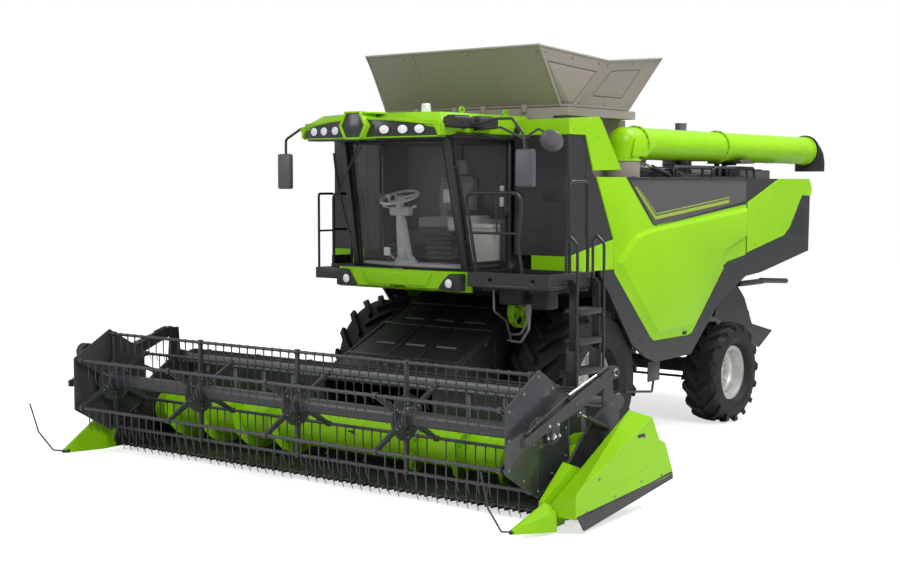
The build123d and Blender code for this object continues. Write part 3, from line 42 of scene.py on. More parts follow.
# camera, lamps, floor
studio = {
    "cameraPlace": (9.684, -14.0425, 2.930),
    "cameraTilt": 85.974,
    "cameraTurn": 38.08,
    "lens": 57.88,
    "keyPower": 1500.0,
    "keyPlace": (11.5, -7.0, 12.0),
    "fillPower": 330.0,
    "fillPlace": (-8.0, -13.0, 7.0),
    "skyLevel": 0.46,
}

cameraData = bpy.data.cameras.new("camera")
cameraData.lens = studio["lens"]
cameraData.sensor_width = 36.0
cameraData.clip_end = 200.0
camera = bpy.data.objects.new("camera", cameraData)
camera.location = studio["cameraPlace"]
camera.rotation_euler = (math.radians(studio["cameraTilt"]), 0.0, math.radians(studio["cameraTurn"]))
scene.collection.objects.link(camera)
scene.camera = camera
scene.view_settings.view_transform = "Standard"


def softBox(name, place, aim, power, size):
    lampData = bpy.data.lights.new(name, "AREA")
    lampData.energy = power
    lampData.size = size
    lamp = bpy.data.objects.new(name, lampData)
    lamp.location = place
    lamp.rotation_euler = (Vector(aim) - Vector(place)).to_track_quat("-Z", "Y").to_euler()
    scene.collection.objects.link(lamp)


softBox("keyLamp", studio["keyPlace"], (0.0, 0.0, 1.0), studio["keyPower"], 7.0)
softBox("fillLamp", studio["fillPlace"], (0.0, -2.0, 1.0), studio["fillPower"], 6.0)
softBox("topLamp", (3.5, 4.5, 11.0), (0.5, 0.0, 2.5), 900.0, 4.0)


def newMaterial(name):
    material = bpy.data.materials.new(name)
    material.use_nodes = True
    tree = material.node_tree
    return material, tree.nodes, tree.links, tree.nodes["Principled BSDF"]


def makeSky():
    world = bpy.data.worlds.new("studioSky")
    world.use_nodes = True
    scene.world = world
    nodes, links = world.node_tree.nodes, world.node_tree.links
    lit = nodes["Background"]
    lit.inputs["Color"].default_value = (0.97, 0.985, 1.0, 1.0)
    lit.inputs["Strength"].default_value = studio["skyLevel"]
    seen = nodes.new("ShaderNodeBackground")
    seen.inputs["Color"].default_value = (1.0, 1.0, 1.0, 1.0)
    seen.inputs["Strength"].default_value = 1.0
    rays = nodes.new("ShaderNodeLightPath")
    either = nodes.new("ShaderNodeMath")
    either.operation = "MAXIMUM"
    links.new(rays.outputs["Is Camera Ray"], either.inputs[0])
    links.new(rays.outputs["Is Transmission Ray"], either.inputs[1])
    blend = nodes.new("ShaderNodeMixShader")
    links.new(either.outputs[0], blend.inputs["Fac"])
    links.new(lit.outputs[0], blend.inputs[1])
    links.new(seen.outputs[0], blend.inputs[2])
    links.new(blend.outputs[0], nodes["World Output"].inputs["Surface"])


def makeFloor():
    bm = bmesh.new()
    bmesh.ops.create_grid(bm, x_segments=1, y_segments=1, size=60.0)
    bmesh.ops.translate(bm, vec=(0.0, 0.0, -0.002), verts=bm.verts)
    mesh = bpy.data.meshes.new("floor")
    bm.to_mesh(mesh)
    bm.free()
    floor = bpy.data.objects.new("floor", mesh)
    scene.collection.objects.link(floor)
    material, nodes, links, shader = newMaterial("paleFloor")
    shader.inputs["Base Color"].default_value = (0.82, 0.82, 0.82, 1.0)
    shader.inputs["Roughness"].default_value = 0.9
    shader.inputs["Specular IOR Level"].default_value = 0.1
    glow = nodes.new("ShaderNodeEmission")
    rays = nodes.new("ShaderNodeLightPath")
    either = nodes.new("ShaderNodeMath")
    either.operation = "MAXIMUM"
    links.new(rays.outputs["Is Camera Ray"], either.inputs[0])
    links.new(rays.outputs["Is Transmission Ray"], either.inputs[1])
    dim = nodes.new("ShaderNodeMath")
    dim.operation = "MULTIPLY"
    dim.inputs[1].default_value = 0.645
    links.new(either.outputs[0], dim.inputs[0])
    links.new(dim.outputs[0], glow.inputs["Strength"])
    both = nodes.new("ShaderNodeAddShader")
    links.new(shader.outputs[0], both.inputs[0])
    links.new(glow.outputs[0], both.inputs[1])
    links.new(both.outputs[0], nodes["Material Output"].inputs["Surface"])
    mesh.materials.append(material)


makeSky()
makeFloor()
print("stage: camera, lamps and floor")


# shared shader groups
def newGroup(name, inputs, outputs):
    group = bpy.data.node_groups.new(name, "ShaderNodeTree")
    for label, kind, value in inputs:
        socket = group.interface.new_socket(name=label, in_out="INPUT", socket_type="NodeSocket" + kind)
        socket.default_value = value
    for label, kind in outputs:
        group.interface.new_socket(name=label, in_out="OUTPUT", socket_type="NodeSocket" + kind)
    return group, group.nodes, group.links, group.nodes.new("NodeGroupInput"), group.nodes.new("NodeGroupOutput")


def mathNode(nodes, links, operation, first, second=None, third=None, clamp=False):
    node = nodes.new("ShaderNodeMath")
    node.operation = operation
    node.use_clamp = clamp
    for slot, value in enumerate((first, second, third)):
        if value is None:
            continue
        if isinstance(value, (int, float)):
            node.inputs[slot].default_value = value
        else:
            links.new(value, node.inputs[slot])
    return node.outputs[0]


def mixColour(nodes, links, factor, first, second, how="MIX"):
    node = nodes.new("ShaderNodeMix")
    node.data_type = "RGBA"
    node.blend_type = how
    for slot, value in ((node.inputs[0], factor), (node.inputs[6], first), (node.inputs[7], second)):
        if isinstance(value, (int, float)):
            slot.default_value = value
        elif isinstance(value, tuple):
            slot.default_value = value
        else:
            links.new(value, slot)
    return node.outputs[2]


def noiseNode(nodes, links, vector, scale, detail=3.0, roughness=0.5):
    node = nodes.new("ShaderNodeTexNoise")
    node.inputs["Scale"].default_value = scale
    node.inputs["Detail"].default_value = detail
    node.inputs["Roughness"].default_value = roughness
    links.new(vector, node.inputs["Vector"])
    return node.outputs["Fac"]


def makePaintGroup():
    # colour drift, field dust near the ground, thin edges and orange peel of a painted panel
    group, nodes, links, given, out = newGroup("paintedPanel", [
        ("Paint", "Color", (0.5, 0.5, 0.5, 1.0)), ("Dust", "Color", (0.32, 0.27, 0.2, 1.0)),
        ("Dustiness", "Float", 0.2), ("Edge", "Float", 0.3), ("Gloss", "Float", 0.3), ("Peel", "Float", 0.1),
    ], [("Color", "Color"), ("Roughness", "Float"), ("Normal", "Vector")])
    place = nodes.new("ShaderNodeTexCoord").outputs["Object"]
    drift = noiseNode(nodes, links, place, 1.1, 3.0)
    cloud = noiseNode(nodes, links, place, 5.5, 5.0, 0.6)
    speck = noiseNode(nodes, links, place, 70.0, 2.0, 0.6)
    axes = nodes.new("ShaderNodeSeparateXYZ")
    links.new(place, axes.inputs[0])
    low = nodes.new("ShaderNodeMapRange")
    links.new(axes.outputs["Z"], low.inputs["Value"])
    for label, value in (("From Min", 1.7), ("From Max", 0.1), ("To Min", 0.12), ("To Max", 1.0)):
        low.inputs[label].default_value = value
    patchy = nodes.new("ShaderNodeMapRange")
    links.new(cloud, patchy.inputs["Value"])
    patchy.inputs["From Min"].default_value = 0.4
    patchy.inputs["From Max"].default_value = 0.75
    dusty = mathNode(nodes, links, "MULTIPLY", low.outputs[0], patchy.outputs[0])
    dusty = mathNode(nodes, links, "MULTIPLY", dusty, given.outputs["Dustiness"], clamp=True)
    round_ = nodes.new("ShaderNodeBevel")
    round_.samples = 4
    round_.inputs["Radius"].default_value = 0.006
    flat = nodes.new("ShaderNodeNewGeometry")
    same = nodes.new("ShaderNodeVectorMath")
    same.operation = "DOT_PRODUCT"
    links.new(round_.outputs[0], same.inputs[0])
    links.new(flat.outputs["Normal"], same.inputs[1])
    edge = nodes.new("ShaderNodeMapRange")
    links.new(same.outputs["Value"], edge.inputs["Value"])
    for label, value in (("From Min", 0.99), ("From Max", 0.8), ("To Min", 0.0), ("To Max", 1.0)):
        edge.inputs[label].default_value = value
    worn = mathNode(nodes, links, "MULTIPLY", edge.outputs[0], given.outputs["Edge"], clamp=True)
    shade = mathNode(nodes, links, "MULTIPLY_ADD", drift, 0.22, 0.89)
    tinted = nodes.new("ShaderNodeVectorMath")
    tinted.operation = "SCALE"
    links.new(given.outputs["Paint"], tinted.inputs[0])
    links.new(shade, tinted.inputs["Scale"])
    lighter = mixColour(nodes, links, worn, tinted.outputs[0], (0.75, 0.75, 0.72, 1.0))
    colour = mixColour(nodes, links, dusty, lighter, given.outputs["Dust"])
    links.new(colour, out.inputs["Color"])
    rough = mathNode(nodes, links, "MULTIPLY_ADD", dusty, 0.5, given.outputs["Gloss"])
    rough = mathNode(nodes, links, "MULTIPLY_ADD", cloud, 0.12, rough, clamp=True)
    links.new(rough, out.inputs["Roughness"])
    peel = nodes.new("ShaderNodeBump")
    peel.inputs["Distance"].default_value = 0.0015
    links.new(given.outputs["Peel"], peel.inputs["Strength"])
    links.new(speck, peel.inputs["Height"])
    links.new(round_.outputs[0], peel.inputs["Normal"])
    links.new(peel.outputs[0], out.inputs["Normal"])
    return group


def makeRubberGroup():
    # dull skin with mould grain and patchy dust
    group, nodes, links, given, out = newGroup("rubberSkin", [
        ("Rubber", "Color", (0.012, 0.012, 0.012, 1.0)), ("Dust", "Color", (0.11, 0.1, 0.085, 1.0)),
        ("Dustiness", "Float", 0.3), ("Grain", "Float", 0.3),
    ], [("Color", "Color"), ("Roughness", "Float"), ("Normal", "Vector")])
    place = nodes.new("ShaderNodeTexCoord").outputs["Object"]
    cloud = noiseNode(nodes, links, place, 9.0, 6.0, 0.65)
    grain = noiseNode(nodes, links, place, 240.0, 3.0, 0.7)
    patchy = nodes.new("ShaderNodeMapRange")
    links.new(cloud, patchy.inputs["Value"])
    patchy.inputs["From Min"].default_value = 0.42
    patchy.inputs["From Max"].default_value = 0.72
    dusty = mathNode(nodes, links, "MULTIPLY", patchy.outputs[0], given.outputs["Dustiness"], clamp=True)
    colour = mixColour(nodes, links, dusty, given.outputs["Rubber"], given.outputs["Dust"])
    links.new(colour, out.inputs["Color"])
    links.new(mathNode(nodes, links, "MULTIPLY_ADD", cloud, 0.25, 0.52, clamp=True), out.inputs["Roughness"])
    round_ = nodes.new("ShaderNodeBevel")
    round_.samples = 4
    round_.inputs["Radius"].default_value = 0.006
    skin = nodes.new("ShaderNodeBump")
    skin.inputs["Distance"].default_value = 0.002
    links.new(given.outputs["Grain"], skin.inputs["Strength"])
    links.new(grain, skin.inputs["Height"])
    links.new(round_.outputs[0], skin.inputs["Normal"])
    links.new(skin.outputs[0], out.inputs["Normal"])
    return group


def makeMetalGroup():
    # drawn or rolled metal: long fine streaks, blotches of dull oxide
    group, nodes, links, given, out = newGroup("workedMetal", [
        ("Metal", "Color", (0.6, 0.6, 0.6, 1.0)), ("Oxide", "Color", (0.2, 0.17, 0.14, 1.0)),
        ("Tarnish", "Float", 0.2), ("Gloss", "Float", 0.3), ("Streak", "Vector", (40.0, 40.0, 400.0)),
        ("Relief", "Float", 0.1),
    ], [("Color", "Color"), ("Roughness", "Float"), ("Normal", "Vector")])
    place = nodes.new("ShaderNodeTexCoord").outputs["Object"]
    long_ = nodes.new("ShaderNodeVectorMath")
    long_.operation = "MULTIPLY"
    links.new(place, long_.inputs[0])
    links.new(given.outputs["Streak"], long_.inputs[1])
    streak = noiseNode(nodes, links, long_.outputs[0], 1.0, 3.0, 0.6)
    cloud = noiseNode(nodes, links, place, 6.0, 6.0, 0.65)
    patchy = nodes.new("ShaderNodeMapRange")
    links.new(cloud, patchy.inputs["Value"])
    patchy.inputs["From Min"].default_value = 0.42
    patchy.inputs["From Max"].default_value = 0.78
    dull = mathNode(nodes, links, "MULTIPLY", patchy.outputs[0], given.outputs["Tarnish"], clamp=True)
    colour = mixColour(nodes, links, dull, given.outputs["Metal"], given.outputs["Oxide"])
    links.new(colour, out.inputs["Color"])
    rough = mathNode(nodes, links, "MULTIPLY_ADD", streak, 0.16, given.outputs["Gloss"])
    links.new(mathNode(nodes, links, "MULTIPLY_ADD", dull, 0.5, rough, clamp=True), out.inputs["Roughness"])
    round_ = nodes.new("ShaderNodeBevel")
    round_.samples = 4
    round_.inputs["Radius"].default_value = 0.004
    relief = nodes.new("ShaderNodeBump")
    relief.inputs["Distance"].default_value = 0.001
    links.new(given.outputs["Relief"], relief.inputs["Strength"])
    links.new(streak, relief.inputs["Height"])
    links.new(round_.outputs[0], relief.inputs["Normal"])
    links.new(relief.outputs[0], out.inputs["Normal"])
    return group


paintGroup = makePaintGroup()
rubberGroup = makeRubberGroup()
metalGroup = makeMetalGroup()


def useGroup(material, group, values):
    nodes, links = material.node_tree.nodes, material.node_tree.links
    shader = nodes["Principled BSDF"]
    box = nodes.new("ShaderNodeGroup")
    box.node_tree = group
    for label, value in values.items():
        box.inputs[label].default_value = value
    links.new(box.outputs["Color"], shader.inputs["Base Color"])
    links.new(box.outputs["Roughness"], shader.inputs["Roughness"])
    links.new(box.outputs["Normal"], shader.inputs["Normal"])
    return box


def paint(name, colour, dustiness=0.25, edge=0.12, gloss=0.28, peel=0.06, coat=0.35, specular=0.5):
    material, _, _, shader = newMaterial(name)
    useGroup(material, paintGroup, {"Paint": (*colour, 1.0), "Dustiness": dustiness, "Edge": edge,
                                    "Gloss": gloss, "Peel": peel})
    shader.inputs["Coat Weight"].default_value = coat
    shader.inputs["Coat Roughness"].default_value = 0.12
    shader.inputs["Specular IOR Level"].default_value = specular
    return material


def rubber(name, colour, dustiness=0.3, grain=0.3):
    material, _, _, shader = newMaterial(name)
    useGroup(material, rubberGroup, {"Rubber": (*colour, 1.0), "Dustiness": dustiness, "Grain": grain})
    shader.inputs["Specular IOR Level"].default_value = 0.35
    return material


def metal(name, colour, tarnish=0.2, gloss=0.25, streak=(40.0, 40.0, 400.0), relief=0.1, metallic=1.0):
    material, _, _, shader = newMaterial(name)
    useGroup(material, metalGroup, {"Metal": (*colour, 1.0), "Tarnish": tarnish, "Gloss": gloss,
                                    "Streak": streak, "Relief": relief})
    shader.inputs["Metallic"].default_value = metallic
    return material


def glass(name, colour, alpha, gloss=0.04):
    # tinted pane: see-through share from alpha, a faint film of dust in the roughness
    material, nodes, links, shader = newMaterial(name)
    place = nodes.new("ShaderNodeTexCoord").outputs["Object"]
    film = noiseNode(nodes, links, place, 1.5, 2.0, 0.5)
    links.new(mathNode(nodes, links, "MULTIPLY_ADD", film, 0.01, gloss), shader.inputs["Roughness"])
    tint = mixColour(nodes, links, film, (*[c * 0.9 for c in colour], 1.0), (*[c * 1.15 for c in colour], 1.0))
    links.new(tint, shader.inputs["Base Color"])
    share = nodes.new("ShaderNodeMapRange")
    links.new(film, share.inputs["Value"])
    share.inputs["To Min"].default_value = alpha - 0.01
    share.inputs["To Max"].default_value = alpha + 0.02
    links.new(share.outputs[0], shader.inputs["Alpha"])
    shader.inputs["Specular IOR Level"].default_value = 0.9
    return material


limePaint = paint("limePaint", (0.262, 0.575, 0.003), dustiness=0.02, gloss=0.30, coat=0.12, specular=0.16)
frameDark = paint("frameDark", (0.015, 0.016, 0.019), dustiness=0.07, gloss=0.36, peel=0.08, coat=0.12)
panelDark = paint("panelDark", (0.07, 0.068, 0.072), dustiness=0.15, gloss=0.34, peel=0.08, coat=0.2)
tankSheet = paint("tankSheet", (0.285, 0.246, 0.222), dustiness=0.03, gloss=0.42, peel=0.08, coat=0.0)
beamGrey = paint("beamGrey", (0.13, 0.135, 0.15), dustiness=0.2, gloss=0.34, coat=0.15)
roofPanel = paint("roofPanel", (0.022, 0.023, 0.025), dustiness=0.05, gloss=0.22, coat=0.4)
mouldedBlack = paint("mouldedBlack", (0.016, 0.016, 0.018), dustiness=0.2, edge=0.05, gloss=0.5, peel=0.35, coat=0.0)
# cab trim: pale grey, painted lighter still to stand in for light inside the dim cab
cabTrimPaintedLight = paint("cabTrimPaintedLight", (0.40, 0.41, 0.42), dustiness=0.0, edge=0.03, gloss=0.55, peel=0.3, coat=0.0)
tyreRubber = rubber("tyreRubber", (0.008, 0.008, 0.008), dustiness=0.08)
rubberPart = rubber("rubberPart", (0.014, 0.014, 0.014), dustiness=0.15)
rimSilver = metal("rimSilver", (0.62, 0.61, 0.59), tarnish=0.25, gloss=0.36, streak=(60.0, 60.0, 60.0), metallic=0.75)
reelDark = paint("reelDark", (0.034, 0.036, 0.041), dustiness=0.05, edge=0.05, gloss=0.28, coat=0.3)
rodSteel = metal("rodSteel", (0.72, 0.72, 0.73), tarnish=0.06, gloss=0.12)
wornSteel = metal("wornSteel", (0.34, 0.33, 0.32), tarnish=0.45, gloss=0.38)
paneGlass = glass("paneGlass", (0.13, 0.135, 0.135), 0.1, gloss=0.02)
lensGlass = glass("lensGlass", (0.86, 0.88, 0.9), 0.72, gloss=0.08)

nodeFinish = {
    limePaint: "body_covers side_panel_left side_panel_right cab_roof cab_valance dividers "
               "unload_tube intake_auger",
    frameDark: "front_axle rear_axle knuckle_left knuckle_right tie_rod main_frame side_frame header_frame threshing_body side_modules "
               "engine_deck handrails straw_chopper cab_floor cab_frame door_frame decks feeder_house "
               "lift_barrels ram_barrels cutter_bar reel_arms reel_frame body_skirts",
    panelDark: "side_insert_left side_insert_right",
    beamGrey: "engine",
    tankSheet: "grain_tank tank_extension",
    roofPanel: "lamp_panels",
    mouldedBlack: "mirrors",
    cabTrimPaintedLight: "cab_interior",
    tyreRubber: "front_tyre_left front_tyre_right rear_tyre_left rear_tyre_right",
    rubberPart: "unload_spout",
    rimSilver: "front_rim_left front_rim_right rear_rim_left rear_rim_right",
    rodSteel: "lift_rods ram_rods",
    reelDark: "tine_bar_1 tine_bar_2 tine_bar_3 tine_bar_4 tine_bar_5 tine_bar_6",
    paneGlass: "cab_glass door_glass",
    lensGlass: "lamps",
}
for finish, names in nodeFinish.items():
    for nodeName in names.split():
        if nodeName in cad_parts:
            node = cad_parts[nodeName]
            node.data.materials.clear()
            node.data.materials.append(finish)
bare = [n for n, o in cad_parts.items() if not o.data.materials or not any(
    n in names.split() for names in nodeFinish.values())]
print("stage: finishes, without one:", bare)

# piece making
def block(bm, low, high, soft=0.004, segments=2):
    made = bmesh.ops.create_cube(bm, size=1.0)["verts"]
    size = [abs(b - a) for a, b in zip(low, high)]
    bmesh.ops.scale(bm, vec=size, verts=made)
    bmesh.ops.translate(bm, vec=[(a + b) / 2 for a, b in zip(low, high)], verts=made)
    if soft:
        soften(bm, made, min(soft, min(size) * 0.45), segments)
    return made


def soften(bm, verts, offset, segments=2, sharperThan=20.0):
    limit = math.radians(sharperThan)
    edges = {e for v in verts for e in v.link_edges if len(e.link_faces) == 2 and e.calc_face_angle(0.0) > limit}
    bmesh.ops.bevel(bm, geom=list(edges), offset=offset, segments=segments, profile=0.5, affect="EDGES", material=-1)


def bar(bm, start, end, radius, endRadius=None, sides=20, soft=0.0):
    start, end = Vector(start), Vector(end)
    along = end - start
    spot = Matrix.Translation((start + end) / 2) @ along.to_track_quat("Z", "Y").to_matrix().to_4x4()
    made = bmesh.ops.create_cone(bm, cap_ends=True, segments=sides, radius1=radius,
                                 radius2=radius if endRadius is None else endRadius,
                                 depth=along.length, matrix=spot)["verts"]
    if soft:
        soften(bm, made, soft, 2, 50.0)
    return made


def bolt(bm, place, facing, size=0.011, washer=True):
    place, facing = Vector(place), Vector(facing).normalized()
    if washer:
        bar(bm, place - facing * 0.002, place + facing * size * 0.28, size * 1.45, sides=12)
    bar(bm, place, place + facing * size * 0.95, size, size * 0.93, sides=6)


def boltLine(bm, start, end, count, facing, size=0.011):
    start, end = Vector(start), Vector(end)
    for i in range(count):
        bolt(bm, start.lerp(end, i / max(1, count - 1)), facing, size)


def boltRing(bm, centre, radius, count, axis, size=0.011, turn=0.0):
    centre, axis = Vector(centre), Vector(axis).normalized()
    side = axis.orthogonal().normalized()
    for i in range(count):
        spoke = Matrix.Rotation(turn + i * math.tau / count, 3, axis) @ side
        bolt(bm, centre + spoke * radius, axis, size)


def plate(bm, corners, axis, near, far, soft=0.003, segments=2):
    # flat outline in the other two axes, pulled from near to far along this one
    def spot(a, b, c):
        if axis == "x":
            return (c, a, b)
        return (a, c, b) if axis == "y" else (a, b, c)
    ring = [bm.verts.new(spot(a, b, near)) for a, b in corners]
    face = bm.faces.new(ring)
    made = bmesh.ops.extrude_face_region(bm, geom=[face])["geom"]
    top = [g for g in made if isinstance(g, bmesh.types.BMVert)]
    shift = {"x": (far - near, 0, 0), "y": (0, far - near, 0), "z": (0, 0, far - near)}[axis]
    bmesh.ops.translate(bm, vec=shift, verts=top)
    faces = {f for v in ring + top for f in v.link_faces}
    bmesh.ops.recalc_face_normals(bm, faces=list(faces))
    if soft:
        soften(bm, ring + top, soft, segments)
    return ring + top


def turned(bm, profile, centre, axis=(1, 0, 0), steps=48):
    # lathe: (along, radius) corners of a closed outline spun round the axis through the centre
    centre, axis = Vector(centre), Vector(axis).normalized()
    side = axis.orthogonal().normalized()
    ring = [bm.verts.new(centre + axis * a + side * r) for a, r in profile]
    edges = [bm.edges.new((a, b)) for a, b in zip(ring, ring[1:] + ring[:1])]
    bmesh.ops.spin(bm, geom=ring + edges, cent=centre, axis=axis, angle=math.tau, steps=steps,
                   use_merge=True, use_duplicate=False)
    return ring


def pour(piece, target):
    # adds one bmesh to another and frees the first
    mesh = bpy.data.meshes.new("pour")
    piece.to_mesh(mesh)
    piece.free()
    target.from_mesh(mesh)
    bpy.data.meshes.remove(mesh)


def tubeRun(bm, points, radius, sides=3, bendStep=6):
    curve = bpy.data.curves.new("run", "CURVE")
    curve.dimensions = "3D"
    curve.bevel_depth = radius
    curve.bevel_resolution = sides
    curve.resolution_u = bendStep
    curve.use_fill_caps = True
    spline = curve.splines.new("NURBS")
    spline.points.add(len(points) - 1)
    for spot, point in zip(spline.points, points):
        spot.co = (*point, 1.0)
    spline.order_u = 3
    spline.use_endpoint_u = True
    holder = bpy.data.objects.new("run", curve)
    mesh = bpy.data.meshes.new_from_object(holder)
    bm.from_mesh(mesh)
    bpy.data.objects.remove(holder)
    bpy.data.curves.remove(curve)
    bpy.data.meshes.remove(mesh)


def cornered(points, bend=0.05):
    # a point each side of every corner, so that the run turns there and is straight between
    out = [Vector(points[0])]
    for a, b, c in zip(points, points[1:], points[2:]):
        a, b, c = Vector(a), Vector(b), Vector(c)
        out += [b + (a - b).normalized() * min(bend, (a - b).length * 0.45), b,
                b + (c - b).normalized() * min(bend, (c - b).length * 0.45)]
    return out + [Vector(points[-1])]


def settle(name, bm, body, finish, smooth=32.0, subdivide=0):
    bmesh.ops.remove_doubles(bm, verts=bm.verts, dist=0.00001)
    bmesh.ops.recalc_face_normals(bm, faces=bm.faces)
    mesh = bpy.data.meshes.new(name)
    bm.to_mesh(mesh)
    bm.free()
    mesh.transform(Matrix.Translation(machineShift))
    mesh.materials.append(finish)
    mesh.shade_smooth()
    if smooth < 180.0:
        mesh.set_sharp_from_angle(angle=math.radians(smooth))
    piece = bpy.data.objects.new(name, mesh)
    scene.collection.objects.link(piece)
    if subdivide:
        rounder = piece.modifiers.new("rounder", "SUBSURF")
        rounder.levels = rounder.render_levels = subdivide
    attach(piece, body)
    return piece


def bothSides(draw, *given):
    for way in (1, -1):
        draw(way, *given)


print("stage: tools")

# cab
cab = {"lean": 330.0 / 1370.0, "floor": 2.05, "half": 0.81, "wheelAt": (0.0, -2.43, 2.80)}


def screenSpot(x, z, out=0.0):
    # the screen is bowed and wraps further round on the right, where its pillar stands back
    lean = 0.19 + 0.06 * x / 0.81
    return (x, -2.475 - 0.16 * x - 0.135 * (1 - (x / 0.81) ** 2) - lean * (z - cab["floor"]) - out, z)


def makeSeat():
    foam = {"base": ((-0.25, -2.08, 2.47), (0.25, -1.62, 2.57)), "back": ((-0.235, -1.70, 2.56), (0.235, -1.58,
            3.02)),
            "head": ((-0.14, -1.66, 3.04), (0.14, -1.575, 3.20))}
    cloth, nodes, links, shader = newMaterial("seatCloth")
    place = nodes.new("ShaderNodeTexCoord").outputs["Object"]
    weave = nodes.new("ShaderNodeTexWave")
    weave.inputs["Scale"].default_value = 130.0
    links.new(place, weave.inputs["Vector"])
    cross = nodes.new("ShaderNodeTexWave")
    cross.bands_direction = "Z"
    cross.inputs["Scale"].default_value = 130.0
    links.new(place, cross.inputs["Vector"])
    threads = mathNode(nodes, links, "MULTIPLY", weave.outputs["Fac"], cross.outputs["Fac"])
    shade = noiseNode(nodes, links, place, 6.0, 4.0)
    tone = mixColour(nodes, links, shade, (0.2, 0.2, 0.2, 1.0), (0.3, 0.3, 0.29, 1.0))
    links.new(mixColour(nodes, links, threads, tone, (0.13, 0.13, 0.13, 1.0)), shader.inputs["Base Color"])
    links.new(mathNode(nodes, links, "MULTIPLY_ADD", threads, 0.15, 0.75), shader.inputs["Roughness"])
    bump = nodes.new("ShaderNodeBump")
    bump.inputs["Strength"].default_value = 0.5
    bump.inputs["Distance"].default_value = 0.002
    links.new(threads, bump.inputs["Height"])
    links.new(bump.outputs[0], shader.inputs["Normal"])
    shader.inputs["Sheen Weight"].default_value = 0.3
    pieces = []
    for name, (low, high) in foam.items():
        bm = bmesh.new()
        block(bm, low, high, 0.0)
        bmesh.ops.subdivide_edges(bm, edges=bm.edges[:], cuts=7, use_grid_fill=True)
        mid = (Vector(low) + Vector(high)) / 2
        half = (Vector(high) - Vector(low)) / 2
        for vert in bm.verts:
            away = vert.co - mid
            u, v, w = (away[i] / half[i] for i in range(3))
            crown = {"base": (1 - u * u) * (1 - v * v), "back": (1 - u * u) * (1 - w * w), "head": 1.0}[name]
            bolster = 0.35 * max(0.0, abs(u) - 0.55)
            if name == "base" and w > 0.3:
                vert.co.z += 0.02 * crown + 0.07 * bolster - (0.006 if 0.28 < abs(u) < 0.5 else 0.0)
            if name == "back":
                vert.co.y += 0.05 * w * w * (1 if w > 0 else 0)
                if v < -0.3:
                    vert.co.y -= 0.02 * crown + 0.09 * bolster
                    if abs(w - 0.1) < 0.12:
                        vert.co.y += 0.006
            vert.co.x -= 0.018 * u * (abs(v) ** 3 + abs(w) ** 3)
        bmesh.ops.smooth_vert(bm, verts=bm.verts, factor=0.5, use_axis_x=True, use_axis_y=True, use_axis_z=True)
        piece = settle("seat_" + name, bm, "chassis", cloth, 180.0, 1)
        pieces.append(piece)
    return pieces


makeSeat()


